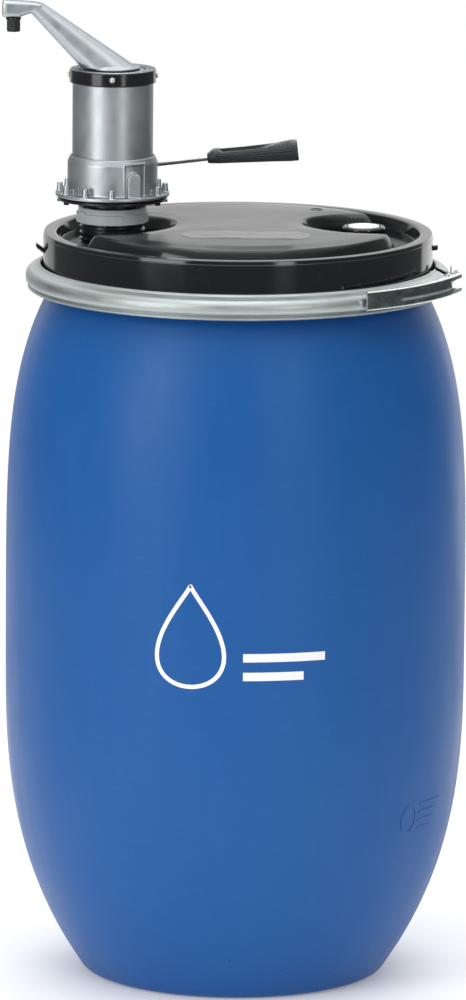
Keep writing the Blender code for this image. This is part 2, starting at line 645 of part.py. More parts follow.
def build_cover():
    low_z = BARREL_TOP_Z + GAP
    plug_z = 966.5 * MM
    profile = [
        (22.3 * MM, COVER_TOP_Z), (42.9 * MM, COVER_TOP_Z), (42.9 * MM, low_z), (38.6 * MM, low_z),
        (38.6 * MM, plug_z), (22.3 * MM, plug_z),
    ]
    cover = turned("top_cover", profile, CAST_SILVER, origin=PUMP_ORIGIN)
    band = turned("clamp_band", [
        (43.3 * MM, COVER_TOP_Z + 0.2 * MM), (BAND_R - MM, COVER_TOP_Z + 0.2 * MM),
        (BAND_R, COVER_TOP_Z - 0.8 * MM), (BAND_R, BAND_LOW_Z), (43.3 * MM, BAND_LOW_Z)],
        BLACK_PLASTIC, origin=PUMP_ORIGIN)
    screw_z = 975 * MM
    for i in range(4):
        a = math.pi / 2 * i
        hole = cylinder("band_drill_%d" % (i + 1), polar(38 * MM, a, screw_z), polar(52 * MM, a, screw_z),
                        1.9 * MM, origin=PUMP_ORIGIN, segments=TINY_SEGMENTS)
        cut(cover, hole)
        cut(band, hole)
        head_in = BAND_R + GAP
        name = "band_screw_%d" % (i + 1)
        screw = cylinder(name, polar(head_in, a, screw_z), polar(head_in + 1.8 * MM, a, screw_z),
                         2.7 * MM, ZINC_STEEL, origin=PUMP_ORIGIN, segments=TINY_SEGMENTS)
        join(screw, cylinder(name + "_shank", polar(38.6 * MM, a, screw_z),
                             polar(head_in + MM, a, screw_z), 1.5 * MM, origin=PUMP_ORIGIN,
                             segments=TINY_SEGMENTS))


# ---------------------------------------------------------------- spout

ARM_FOOT_Z = COVER_TOP_Z + 0.5 * MM
HEAD_LOW_Z = 1037 * MM
HEAD_TOP_Z = 1054.5 * MM
NOZZLE_X = -106 * MM
HEAD_LEFT_X = -118 * MM


def arm_section(t, inset=0.0):
    """Horizontal section of the rising arm: t runs from its foot, 0, to the head, 1."""
    low_z, high_z = 989 * MM, 1046 * MM
    z = low_z + (high_z - low_z) * t
    right = 15 * MM - 85.5 * MM * t + inset * -1.6
    left = -37.5 * MM - 64 * MM * t + inset * 1.6
    half_y = 27 * MM - 16.5 * MM * t ** 0.8 - inset
    return superellipse((left + right) / 2, (right - left) / 2, half_y, z)


def head_sections(inset=0.0):
    """Vertical sections of the level head, from its rounded end to where the arm joins it."""
    stations = ((HEAD_LEFT_X, 0.62), (HEAD_LEFT_X + 2 * MM, 0.85), (HEAD_LEFT_X + 6 * MM, 1.0),
                (NOZZLE_X + 14 * MM, 1.0), (-76 * MM, 0.97), (-66 * MM, 0.62))
    centre_z = (HEAD_LOW_Z + HEAD_TOP_Z) / 2
    half_z = (HEAD_TOP_Z - HEAD_LOW_Z) / 2
    sections = []
    for x, size in stations:
        shift = inset if x < NOZZLE_X else -inset
        ring_points = superellipse(0.0, half_z * size - inset, 10.5 * MM * size - inset, 0.0, 4.0)
        sections.append([(x + shift, y, centre_z + along) for along, y, _ in ring_points])
    return sections


def build_spout():
    spigot_r, bore_r = 22 * MM, 16 * MM
    foot = [
        (0.0, 989.5 * MM), (28.5 * MM, 989.5 * MM), (31.6 * MM, 986.5 * MM), (31.6 * MM, ARM_FOOT_Z),
        (spigot_r, ARM_FOOT_Z), (spigot_r, 977.3 * MM), (19.9 * MM, 977.3 * MM),
        (19.9 * MM, 973.7 * MM), (spigot_r, 973.7 * MM), (spigot_r, 968 * MM), (0.0, 968 * MM),
    ]
    arm = turned("spout_arm", foot, CAST_SILVER, origin=PUMP_ORIGIN, segments=SMALL_SEGMENTS)
    steps = [i / 4 for i in range(5)]
    join(arm,
         loft("arm_form", [arm_section(t) for t in steps], origin=PUMP_ORIGIN),
         loft("head_form", head_sections(), origin=PUMP_ORIGIN),
         solver="MANIFOLD")
    wall = 3.2 * MM
    inner_steps = [0.0, 0.3, 0.6, 0.9]
    cut(arm,
        turned("spigot_bore", disc(bore_r, 960 * MM, 992 * MM), origin=PUMP_ORIGIN, segments=SMALL_SEGMENTS),
        loft("arm_hollow", [arm_section(t, wall) for t in inner_steps], origin=PUMP_ORIGIN),
        loft("head_hollow", head_sections(wall), origin=PUMP_ORIGIN),
        cylinder("nozzle_socket", (NOZZLE_X, 0, 1030 * MM), (NOZZLE_X, 0, 1043 * MM), 5.8 * MM,
                 origin=PUMP_ORIGIN),
        solver="MANIFOLD")
    turned("spout_seal", ring(20.2 * MM, 22.0 * MM, 974 * MM, 977 * MM), RUBBER, origin=PUMP_ORIGIN,
           segments=SMALL_SEGMENTS)
    build_nozzle()


def build_nozzle():
    high_z, low_z = HEAD_LOW_Z - 1.0 * MM, 1020.4 * MM
    bore_r, rib_r, stem_r = 4.2 * MM, 7.25 * MM, 6.7 * MM
    profile = [(bore_r, 1042 * MM), (5.5 * MM, 1042 * MM), (5.5 * MM, high_z), (8.2 * MM, high_z),
               (8.2 * MM, high_z - 3 * MM), (stem_r, high_z - 3 * MM)]
    profile += [(stem_r, low_z + 4 * MM), (rib_r, low_z + 3 * MM), (rib_r, low_z), (bore_r, low_z)]
    turned("outlet_nozzle", profile, BLACK_PLASTIC, origin=(PUMP_X + NOZZLE_X, PUMP_Y, 0),
           segments=SMALL_SEGMENTS)


# ---------------------------------------------------------------- hand lever and crank

SHAFT_ORIGIN = (PUMP_X + SHAFT_X, PUMP_Y, SHAFT_Z)


def build_lever_shaft():
    """Built about the shaft's axis, which is the lever's joint."""
    shaft = cylinder("lever_shaft", (0, -45.5 * MM, 0), (0, 66 * MM, 0), SHAFT_R, ZINC_STEEL,
                     origin=SHAFT_ORIGIN)
    cut(shaft, cylinder("shaft_thread", (0, 56 * MM, 0), (0, 70 * MM, 0), 2.3 * MM,
                        origin=SHAFT_ORIGIN, segments=TINY_SEGMENTS))
    for name, material, outer, start, end in (("shaft_bush", BRASS, 7.8 * MM, 36 * MM, 49.5 * MM),
                                              ("shaft_seal", RUBBER, 7.8 * MM, 49.9 * MM, 52.4 * MM)):
        sleeve = cylinder(name, (0, start, 0), (0, end, 0), outer, material, origin=SHAFT_ORIGIN)
        cut(sleeve, cylinder(name + "_bore", (0, start - 5 * MM, 0), (0, end + 5 * MM, 0),
                             SHAFT_R + RUNNING_GAP, origin=SHAFT_ORIGIN))


def build_crank():
    pin = (CRANK_LENGTH * math.cos(CRANK_ANGLE), CRANK_LENGTH * math.sin(CRANK_ANGLE))
    arm = prism("crank_arm", tapered_bar((0.0, 0.0), 9 * MM, pin, 6.5 * MM), 6 * MM, 12 * MM,
                GALVANISED, origin=SHAFT_ORIGIN, along="Y")
    cut(arm,
        cylinder("crank_bore", (0, 0, 0), (0, 20 * MM, 0), SHAFT_R + GAP, origin=SHAFT_ORIGIN),
        cylinder("crank_pin_bore", (pin[0], 0, pin[1]), (pin[0], 20 * MM, pin[1]), 4 * MM + GAP,
                 origin=SHAFT_ORIGIN))
    cylinder("crank_pin", (pin[0], -5.5 * MM, pin[1]), (pin[0], 12 * MM, pin[1]), 4 * MM, ZINC_STEEL,
             origin=SHAFT_ORIGIN)


def along_lever(u, w, y=LEVER_Y):
    """A point at u along the hand lever from its shaft, and w above its centre line."""
    c, s = math.cos(LEVER_RISE), math.sin(LEVER_RISE)
    return (u * c - w * s, y, u * s + w * c)


def build_hand_lever():
    rod_r = 2.5 * MM
    hub = cylinder("lever_hub", (0, 54 * MM, 0), (0, 66 * MM, 0), 10 * MM, ZINC_STEEL, origin=SHAFT_ORIGIN)
    cut(hub,
        cylinder("hub_bore", (0, 50 * MM, 0), (0, 70 * MM, 0), SHAFT_R + GAP, origin=SHAFT_ORIGIN),
        cylinder("rod_socket", along_lever(5.9 * MM, 0), along_lever(14 * MM, 0), rod_r + GAP,
                 origin=SHAFT_ORIGIN))
    screw = cylinder("hub_screw", (0, 66.4 * MM, 0), (0, 69.4 * MM, 0), 7 * MM, ZINC_STEEL,
                     origin=SHAFT_ORIGIN, segments=6)
    join(screw, cylinder("hub_screw_shank", (0, 57 * MM, 0), (0, 68 * MM, 0), 2 * MM,
                         origin=SHAFT_ORIGIN, segments=TINY_SEGMENTS))
    cylinder("lever_rod", along_lever(6.2 * MM, 0), along_lever(132 * MM, 0), rod_r, ZINC_STEEL,
             origin=SHAFT_ORIGIN)
    build_grip(rod_r)


def build_grip(rod_r):
    """Moulded grip: stations give distance, bottom, top and half width."""
    stations = (
        (77.5, -4.6, 5.6, 7.0), (79.5, -5.6, 7.0, 8.5), (85.0, -6.0, 10.2, 10.5), (91.5, -6.4, 8.6, 11.0),
        (120.0, -8.6, 8.4, 11.0), (150.0, -10.9, 8.7, 11.5), (169.0, -12.5, 10.2, 12.5),
        (173.5, -12.9, 10.0, 12.5), (175.2, -12.0, 8.8, 11.0),
    )
    sections = []
    for u, bottom, top, half_y in stations:
        half_w = (top - bottom) / 2 * MM
        middle = (top + bottom) / 2 * MM
        outline = superellipse(0.0, half_w, half_y * MM, 0.0, 2.6)
        sections.append([along_lever(u * MM, middle + w, LEVER_Y + y) for w, y, _ in outline])
    grip = loft("lever_grip", sections, BLACK_PLASTIC, origin=SHAFT_ORIGIN)
    cut(grip, cylinder("grip_bore", along_lever(70 * MM, 0), along_lever(133 * MM, 0), rod_r + GAP,
                       origin=SHAFT_ORIGIN))


# ---------------------------------------------------------------- piston and valves

def build_piston():
    pin_x = SHAFT_X + CRANK_LENGTH * math.cos(CRANK_ANGLE)
    pin_z = SHAFT_Z + CRANK_LENGTH * math.sin(CRANK_ANGLE)
    half_slot = 4 * MM + 0.6 * MM
    yoke_low, yoke_high = pin_z - 8.2 * MM, pin_z + 8.2 * MM
    rod = box("piston_rod", (-13 * MM, -5 * MM, yoke_low), (9.5 * MM, 5 * MM, yoke_high), ZINC_STEEL,
              origin=PUMP_ORIGIN)
    join(rod, cylinder("rod_stem", (0, 0, pin_z + 7 * MM), (0, 0, 960 * MM), 4 * MM, origin=PUMP_ORIGIN))
    slot_left = SHAFT_X - CRANK_LENGTH - half_slot - 0.4 * MM
    slot_right = pin_x + half_slot + 0.4 * MM
    cut(rod, box("yoke_slot", (slot_left, -8 * MM, pin_z - half_slot), (slot_right, 8 * MM, pin_z + half_slot),
                 origin=PUMP_ORIGIN))
    build_piston_disc()


def build_piston_disc():
    low_z, high_z = 936 * MM, 948 * MM
    side_r, groove_r, bore_r = 38.2 * MM, 34.9 * MM, 4.3 * MM
    profile = [(bore_r, high_z), (side_r, high_z), (side_r, 944.8 * MM), (groove_r, 944.8 * MM),
               (groove_r, 939.2 * MM), (side_r, 939.2 * MM), (side_r, low_z), (bore_r, low_z)]
    piston = turned("piston_disc", profile, WHITE_PLASTIC, origin=PUMP_ORIGIN, segments=SMALL_SEGMENTS)
    for i in range(6):
        x, y = polar(17 * MM, math.radians(60) * i)
        cut(piston, cylinder("piston_port_%d" % (i + 1), (x, y, low_z - 5 * MM), (x, y, high_z + 5 * MM),
                             4 * MM, origin=PUMP_ORIGIN, segments=TINY_SEGMENTS), solver="MANIFOLD")
    turned("piston_seal", ring(35.2 * MM, 38.7 * MM, 939.5 * MM, 944.5 * MM), RUBBER, origin=PUMP_ORIGIN,
           segments=SMALL_SEGMENTS)
    turned("delivery_valve", ring(6.9 * MM, 26 * MM, 948.3 * MM, 950.3 * MM), RUBBER, origin=PUMP_ORIGIN,
           segments=SMALL_SEGMENTS)
    nut = [(4.3 * MM, 960.5 * MM), (7.5 * MM, 960.5 * MM), (7.5 * MM, 955.5 * MM), (11 * MM, 955.5 * MM),
           (11 * MM, 953.6 * MM), (6.5 * MM, 953.6 * MM), (6.5 * MM, 948.3 * MM), (4.3 * MM, 948.3 * MM)]
    turned("piston_nut", nut, BRASS, origin=PUMP_ORIGIN, segments=SMALL_SEGMENTS)


# ---------------------------------------------------------------- suction side

def build_suction_pipe():
    pipe_r, bore_r = 16 * MM, 13.5 * MM
    turned("suction_pipe", ring(bore_r, pipe_r, 32 * MM, 818.2 * MM), GREY_PLASTIC, origin=PUMP_ORIGIN,
           segments=SMALL_SEGMENTS)
    inner_r, outer_r = pipe_r + 1.5 * MM, pipe_r + 4 * MM
    low_z, high_z, floor_z = 12 * MM, 60 * MM, 15 * MM
    strainer = [(0.0, floor_z), (inner_r, floor_z), (inner_r, high_z), (outer_r, high_z),
                (outer_r, low_z), (0.0, low_z)]
    sieve = turned("foot_strainer", strainer, BLACK_PLASTIC, origin=PUMP_ORIGIN, segments=SMALL_SEGMENTS)
    for i in range(3):
        slot = box("strainer_slot_%d" % (i + 1), (-30 * MM, -2.5 * MM, 17 * MM), (30 * MM, 2.5 * MM, 29 * MM),
                   origin=PUMP_ORIGIN)
        slot.rotation_euler = (0, 0, math.radians(60) * i)
        cut(sieve, slot)


# ---------------------------------------------------------------- moving pieces and finish

def carry(name, place, *pieces):
    """Parent moving pieces to an empty on their joint's axis, and leave them where they are."""
    axis = bpy.data.objects.new(name, None)
    axis.location = place
    axis.empty_display_size = 20 * MM
    PARTS.objects.link(axis)
    for piece in pieces:
        obj = bpy.data.objects[piece]
        obj.parent = axis
        obj.matrix_parent_inverse = Matrix.Translation(place).inverted()


def carry_moving_pieces():
    carry("spout_axis", (PUMP_X, PUMP_Y, COVER_TOP_Z), "spout_arm", "spout_seal", "outlet_nozzle")
    carry("lever_axis", SHAFT_ORIGIN, "lever_shaft", "crank_arm", "crank_pin", "lever_hub", "hub_screw",
          "lever_rod", "lever_grip")
    carry("piston_axis", PUMP_ORIGIN, "piston_rod", "piston_disc", "piston_seal", "piston_nut")
    carry("delivery_valve_axis", PUMP_ORIGIN, "delivery_valve")
    carry("suction_valve_axis", PUMP_ORIGIN, "suction_valve")
    carry("closure_lever_axis", polar(PIVOT_R, PIVOT_ANGLE, CLOSURE_Z), "closure_lever", "link_pin")
    carry("closure_link_axis", polar(LINK_R, LINK_ANGLE, CLOSURE_Z), "closure_link")
    carry("plug_axis", (-PUMP_X, -PUMP_Y, 0.0), "bung_plug", "bung_gasket")


def shade_parts():
    """Apply the modifiers, then shade round faces smooth and keep the sharp edges."""
    graph = bpy.context.evaluated_depsgraph_get()
    parts = [obj for obj in PARTS.objects if obj.type == "MESH"]
    shaped = [bpy.data.meshes.new_from_object(obj.evaluated_get(graph)) for obj in parts]
    for obj, mesh in zip(parts, shaped):
        obj.modifiers.clear()
        obj.data = mesh
        mesh.name = obj.name
        mesh.shade_smooth()
        mesh.set_sharp_from_angle(angle=SHARP_ANGLE)


build_drum_shell()
build_lid()
build_clamp_ring()
build_closure_lever()
build_lever_bracket()
build_closure_link()
build_bung()
build_union_nut()
build_base_plate()
build_housing()
build_flange_screws()
build_barrel()
build_cover()
build_spout()
build_lever_shaft()
build_crank()
build_hand_lever()
build_piston()
build_suction_pipe()
carry_moving_pieces()
shade_parts()
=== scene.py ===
"""The looks of an open-top plastic drum with a hand lever pump, built around its CAD frame.

Metres, +Z up, in the frame's own axes: the drum stands on the origin, the pump is at -X and
the viewer is at -Y.
"""

import json
import math

import bmesh
import bpy
import numpy as np
from mathutils import Matrix, Vector


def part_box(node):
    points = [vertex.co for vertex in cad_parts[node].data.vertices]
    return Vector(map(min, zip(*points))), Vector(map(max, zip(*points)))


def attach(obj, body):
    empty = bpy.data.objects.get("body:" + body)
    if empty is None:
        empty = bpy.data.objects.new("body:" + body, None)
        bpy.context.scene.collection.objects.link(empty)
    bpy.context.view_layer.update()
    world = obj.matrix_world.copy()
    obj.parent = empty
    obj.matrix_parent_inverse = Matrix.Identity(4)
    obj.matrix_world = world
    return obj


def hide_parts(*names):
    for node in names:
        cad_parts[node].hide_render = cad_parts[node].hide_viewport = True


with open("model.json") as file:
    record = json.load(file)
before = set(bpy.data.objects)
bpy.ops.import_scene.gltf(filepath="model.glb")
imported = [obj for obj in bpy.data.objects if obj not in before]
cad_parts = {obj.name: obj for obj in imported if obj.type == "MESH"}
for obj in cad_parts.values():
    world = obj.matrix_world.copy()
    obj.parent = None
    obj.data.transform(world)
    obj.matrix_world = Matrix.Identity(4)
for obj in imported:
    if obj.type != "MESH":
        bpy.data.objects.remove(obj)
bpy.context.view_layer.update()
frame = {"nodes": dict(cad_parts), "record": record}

MM = 0.001
TAU = 2 * math.pi


# ---------------------------------------------------------------- places read from the frame

def low(node):
    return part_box(node)[0]


def high(node):
    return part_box(node)[1]


def middle(node):
    return (low(node) + high(node)) / 2


def radius_of(node):
    return (high(node).x - low(node).x) / 2


def radius_along_z(node):
    return (high(node).z - low(node).z) / 2


BELLY_R = high("drum_shell").x
MOUTH_TOP_Z = high("drum_shell").z
PUMP = middle("pump_barrel").xy
PLUG = middle("bung_plug").xy
LID_FOOT_Z = low("drum_lid").z
LID_FLOOR_Z = LID_FOOT_Z + 34.5 * MM
LID_RIM_Z = LID_FOOT_Z + 46.5 * MM
DOME_Z = LID_FOOT_Z + 53 * MM
DOME_CROWN = 2.5 * MM
DOME_R = 170 * MM
SKIRT_R = 208.5 * MM
RIM_INNER_R = 194.5 * MM
POCKET_R = 65 * MM
POCKETS = ((136 * MM, 22 * MM, 1), (-135 * MM, 4 * MM, -1))
LABEL_X = 9 * MM
LABEL_Y = -80 * MM
LABEL_HALF = 46 * MM
LABEL_END = 24 * MM
CLOSURE_Z = middle("closure_lever").z


# ---------------------------------------------------------------- materials

class Nodes:
    """Short ways to wire a node tree."""

    def __init__(self, tree):
        self.nodes = tree.nodes
        self.links = tree.links

    def math(self, operation, first, second=0.0):
        node = self.nodes.new("ShaderNodeMath")
        node.operation = operation
        for value, socket in ((first, node.inputs[0]), (second, node.inputs[1])):
            if isinstance(value, (int, float)):
                socket.default_value = value
            else:
                self.links.new(value, socket)
        return node.outputs[0]

    def ramp(self, value, from_low, from_high, to_low, to_high, smooth=True):
        node = self.nodes.new("ShaderNodeMapRange")
        if smooth:
            node.interpolation_type = "SMOOTHSTEP"
        self.links.new(value, node.inputs["Value"])
        for key, number in (("From Min", from_low), ("From Max", from_high),
                            ("To Min", to_low), ("To Max", to_high)):
            node.inputs[key].default_value = number
        return node.outputs["Result"]


class Shading(Nodes):
    """A Principled material with short ways to add procedural detail."""

    def __init__(self, name, slot, colour, roughness, metallic=0.0):
        self.material = bpy.data.materials.new(name)
        self.material.use_nodes = True
        self.material["slot"] = slot
        super().__init__(self.material.node_tree)
        self.shader = self.nodes["Principled BSDF"]
        self.set("Base Color", (*colour, 1.0))
        self.set("Roughness", roughness)
        self.set("Metallic", metallic)
        self.place = self.nodes.new("ShaderNodeTexCoord").outputs["Object"]

    def set(self, socket, value):
        self.shader.inputs[socket].default_value = value

    def noise(self, scale, detail=4.0, rough=0.55):
        """Noise whose scale is cycles per metre along x, y and z."""
        mapping = self.nodes.new("ShaderNodeMapping")
        mapping.inputs["Scale"].default_value = scale if hasattr(scale, "__len__") else (scale,) * 3
        self.links.new(self.place, mapping.inputs["Vector"])
        texture = self.nodes.new("ShaderNodeTexNoise")
        for key, number in (("Scale", 1.0), ("Detail", detail), ("Roughness", rough)):
            texture.inputs[key].default_value = number
        self.links.new(mapping.outputs["Vector"], texture.inputs["Vector"])
        return texture.outputs["Fac"]

    def scratches(self, scale, width):
        """Thin broken lines: the narrow middle band of a stretched noise."""
        field = self.noise(scale, detail=3.0, rough=0.6)
        distance = self.math("ABSOLUTE", self.math("SUBTRACT", field, 0.5))
        return self.ramp(distance, 0.0, width, 1.0, 0.0)

    def axis(self, index):
        split = self.nodes.new("ShaderNodeSeparateXYZ")
        self.links.new(self.place, split.inputs[0])
        return split.outputs[index]

    def length_squared(self, first, second):
        return self.math("ADD", self.math("POWER", first, 2.0), self.math("POWER", second, 2.0))

    def tint(self, factor, colour):
        """Mix another colour over what the base colour is so far."""
        mix = self.nodes.new("ShaderNodeMix")
        mix.data_type = "RGBA"
        base = self.shader.inputs["Base Color"]
        if base.is_linked:
            self.links.new(base.links[0].from_socket, mix.inputs["A"])
        else:
            mix.inputs["A"].default_value = base.default_value
        mix.inputs["B"].default_value = (*colour, 1.0)
        self.links.new(factor, mix.inputs["Factor"])
        self.links.new(mix.outputs["Result"], base)

    def rough(self, factor, smoothest, roughest):
        self.links.new(self.ramp(factor, 0.3, 0.7, smoothest, roughest), self.shader.inputs["Roughness"])

    def bump(self, height, distance, strength=1.0):
        node = self.nodes.new("ShaderNodeBump")
        node.inputs["Distance"].default_value = distance
        node.inputs["Strength"].default_value = strength
        self.links.new(height, node.inputs["Height"])
        normal = self.shader.inputs["Normal"]
        if normal.is_linked:
            self.links.new(normal.links[0].from_socket, node.inputs["Normal"])
        self.links.new(node.outputs["Normal"], normal)


def drum_blue():
    s = Shading("blue_hdpe", "blue_hdpe", (0.0095, 0.092, 0.318), 0.4)
    s.set("Specular IOR Level", 0.24)
    cloud = s.noise((3, 3, 2), detail=3)
    s.tint(s.ramp(cloud, 0.35, 0.7, 0.0, 0.5), (0.0125, 0.104, 0.34))
    streak = s.noise((60, 60, 1.2), detail=4)
    s.tint(s.ramp(streak, 0.5, 0.75, 0.0, 0.18), (0.018, 0.118, 0.37))
    s.tint(s.math("MULTIPLY", s.scratches((9, 9, 70), 0.004), 0.16), (0.08, 0.22, 0.52))
    foot = s.ramp(s.axis(2), 0.03, 0.14, 1.0, 0.0)
    specks = s.ramp(s.noise(160, detail=2), 0.68, 0.76, 0.0, 0.6)
    s.tint(s.math("MULTIPLY", specks, foot), (0.01, 0.02, 0.05))
    s.rough(s.noise((14, 14, 5)), 0.34, 0.46)
    s.bump(s.noise(900, detail=2), 0.00005, 0.5)
    s.bump(s.noise((22, 22, 9), detail=2), 0.0006, 0.3)
    return s.material


def black_moulded(name="black_plastic", smoothest=0.22, roughest=0.36, dust=0.12):
    s = Shading(name, "black_plastic", (0.008, 0.0105, 0.0115), 0.3)
    s.tint(s.ramp(s.noise(30), 0.45, 0.75, 0.0, dust), (0.06, 0.065, 0.065))
    s.tint(s.math("MULTIPLY", s.scratches((40, 12, 12), 0.004), 0.2), (0.12, 0.13, 0.13))
    s.rough(s.noise((26, 26, 26)), smoothest, roughest)
    s.bump(s.noise(700, detail=3), 0.00006, 0.5)
    return s.material


def grip_black():
    """Warm to the touch: a matt black with a bluish sheen."""
    s = Shading("grip_black", "black_plastic", (0.036, 0.038, 0.044), 0.32)
    s.set("Sheen Weight", 0.35)
    s.set("Sheen Roughness", 0.4)
    s.set("Sheen Tint", (0.85, 0.86, 1.0, 1.0))
    s.tint(s.ramp(s.noise((90, 90, 90), detail=3), 0.5, 0.75, 0.0, 0.3), (0.07, 0.072, 0.08))
    s.rough(s.noise(60), 0.26, 0.4)
    s.bump(s.noise(800, detail=2), 0.00005, 0.5)
    return s.material


def lid_black():
    """The lid's moulding: glossy on its skirt, rubbed on the dome and scuffed on its label field."""
    s = Shading("lid_black", "black_plastic", (0.006, 0.0085, 0.0095), 0.2)
    s.set("IOR", 1.56)
    height = s.axis(2)
    upper = s.ramp(height, DOME_Z - 4 * MM, DOME_Z - 1 * MM, 0.0, 1.0)
    cloud = s.noise((6, 12, 10), detail=5)
    s.tint(s.math("MULTIPLY", s.ramp(cloud, 0.4, 0.7, 0.02, 0.42), upper), (0.10, 0.102, 0.092))
    off_middle = s.math("ABSOLUTE", s.math("SUBTRACT", s.axis(0), LABEL_X))
    beyond_end = s.math("MAXIMUM", s.math("SUBTRACT", off_middle, LABEL_HALF), 0.0)
    reach = s.length_squared(beyond_end, s.math("SUBTRACT", s.axis(1), LABEL_Y))
    field = s.math("MULTIPLY", upper, s.ramp(reach, (LABEL_END - 2 * MM) ** 2, LABEL_END ** 2, 1.0, 0.0))
    scuffs = s.ramp(s.noise((26, 110, 20), detail=6, rough=0.7), 0.38, 0.6, 0.12, 0.75)
    s.tint(s.math("MULTIPLY", scuffs, field), (0.20, 0.205, 0.19))
    s.tint(s.math("MULTIPLY", s.scratches((14, 60, 14), 0.003), 0.14), (0.10, 0.11, 0.11))
    gloss = s.ramp(s.noise((9, 22, 14), detail=5), 0.3, 0.7, 0.06, 0.12)
    s.links.new(s.math("ADD", gloss, s.math("MULTIPLY", upper, 0.14)), s.shader.inputs["Roughness"])
    # dust in the channel takes the shine off its floor
    inside = s.ramp(s.length_squared(s.axis(0), s.axis(1)),
                    (RIM_INNER_R - 6 * MM) ** 2, (RIM_INNER_R - 3 * MM) ** 2, 1.0, 0.0)
    low_down = s.ramp(height, LID_FLOOR_Z + 2 * MM, LID_FLOOR_Z + 9 * MM, 1.0, 0.0)
    shine = s.ramp(s.math("MULTIPLY", inside, low_down), 0.0, 1.0, 0.5, 0.01)
    s.links.new(shine, s.shader.inputs["Specular IOR Level"])
    s.bump(s.noise(650, detail=3), 0.00005, 0.35)
    return s.material


def galvanised():
    """Rolled sheet: streaks run round the ring."""
    s = Shading("galvanised_steel", "galvanised_steel", (0.46, 0.505, 0.495), 0.5, 1.0)
    streak = s.noise((9, 9, 900), detail=4, rough=0.65)
    s.tint(s.ramp(streak, 0.42, 0.7, 0.0, 0.6), (0.36, 0.405, 0.40))
    cloud = s.noise(28, detail=5)
    s.tint(s.ramp(cloud, 0.5, 0.72, 0.0, 0.3), (0.54, 0.575, 0.565))
    s.rough(s.noise((30, 30, 300)), 0.42, 0.56)
    s.bump(streak, 0.0001, 0.3)
    return s.material


def zinc_plate(name="zinc_plated_steel", colour=(0.17, 0.21, 0.215)):
    s = Shading(name, "zinc_plated_steel", colour, 0.26, 1.0)
    s.tint(s.ramp(s.noise(45, detail=5), 0.45, 0.7, 0.0, 0.5), tuple(c * 1.6 for c in colour))
    stain = s.noise((80, 80, 300), detail=3)
    s.tint(s.ramp(stain, 0.55, 0.75, 0.0, 0.5), tuple(c * 0.5 for c in colour))
    s.rough(s.noise(70), 0.16, 0.34)
    s.bump(s.noise((60, 60, 500), detail=2), 0.00008, 0.3)
    return s.material


def worn_edge():
    s = Shading("worn_steel_edge", "zinc_plated_steel", (0.82, 0.84, 0.83), 0.24, 1.0)
    s.tint(s.ramp(s.noise(160, detail=4), 0.5, 0.72, 0.0, 0.6), (0.45, 0.5, 0.5))
    s.rough(s.noise(200), 0.16, 0.4)
    return s.material


def silver_cast():
    """Die casting with a thin silver lacquer: fine orange peel, darker where it is seen edge on."""
    s = Shading("silver_casting", "silver_casting", (0.47, 0.51, 0.53), 0.44, 1.0)
    s.set("Specular Tint", (0.42, 0.43, 0.44, 1.0))
    s.tint(s.ramp(s.noise(24, detail=5), 0.42, 0.72, 0.0, 0.4), (0.42, 0.46, 0.48))
    s.tint(s.ramp(s.noise(1400, detail=1), 0.6, 0.75, 0.0, 0.3), (0.62, 0.65, 0.66))
    s.rough(s.noise(60, detail=4), 0.38, 0.48)
    s.bump(s.noise(420, detail=3), 0.00006, 0.35)
    return s.material


def grey_moulded():
    s = Shading("grey_plastic", "grey_plastic", (0.50, 0.555, 0.575), 0.42)
    s.tint(s.ramp(s.noise(50, detail=4), 0.45, 0.7, 0.0, 0.4), (0.56, 0.60, 0.61))
    s.rough(s.noise(80), 0.34, 0.5)
    s.bump(s.noise(600, detail=2), 0.00006, 0.5)
    return s.material


def white_moulded():
    s = Shading("white_plastic", "white_plastic", (0.93, 0.935, 0.92), 0.36)
    s.tint(s.ramp(s.noise(60, detail=3), 0.45, 0.75, 0.0, 0.4), (0.88, 0.885, 0.87))
    s.rough(s.noise(90), 0.3, 0.45)
    s.bump(s.noise(500, detail=2), 0.00005, 0.5)
    return s.material


def soft_rubber():
    s = Shading("seal_rubber", "seal_rubber", (0.018, 0.018, 0.019), 0.75)
    s.tint(s.ramp(s.noise(120, detail=3), 0.45, 0.75, 0.0, 0.4), (0.04, 0.04, 0.04))
    s.rough(s.noise(150), 0.65, 0.85)
    s.bump(s.noise(700, detail=2), 0.00006, 0.6)
    return s.material


def turned_brass():
    s = Shading("brass", "brass", (0.62, 0.45, 0.18), 0.3, 1.0)
    s.tint(s.ramp(s.noise((60, 60, 600), detail=3), 0.45, 0.7, 0.0, 0.5), (0.45, 0.32, 0.13))
    s.rough(s.noise(120), 0.22, 0.4)
    return s.material


def white_print():
    s = Shading("white_print", "blue_hdpe", (0.88, 0.89, 0.9), 0.4)
    s.tint(s.ramp(s.noise(300, detail=3), 0.6, 0.8, 0.0, 0.25), (0.7, 0.74, 0.82))
    s.rough(s.noise(200), 0.34, 0.5)
    return s.material


BLUE = drum_blue()
BLACK = black_moulded()
BLACK_GLOSS = black_moulded("black_gloss", smoothest=0.10, roughest=0.2, dust=0.06)
GRIP_BLACK = grip_black()
LID_BLACK = lid_black()
GALVANISED = galvanised()
ZINC = zinc_plate()
BRIGHT_ZINC = zinc_plate("bright_zinc", (0.46, 0.48, 0.48))
DARK_STEEL = zinc_plate("dark_steel", (0.018, 0.021, 0.022))
WORN_EDGE = worn_edge()
SILVER = silver_cast()
GREY = grey_moulded()
WHITE = white_moulded()
RUBBER = soft_rubber()
BRASS = turned_brass()
PRINT = white_print()

SLOT_MATERIALS = {
    "blue_hdpe": BLUE, "black_plastic": BLACK, "galvanised_steel": GALVANISED,
    "zinc_plated_steel": ZINC, "silver_casting": SILVER, "grey_plastic": GREY,
    "white_plastic": WHITE, "seal_rubber": RUBBER, "brass": BRASS,
}


# ---------------------------------------------------------------- modelling helpers

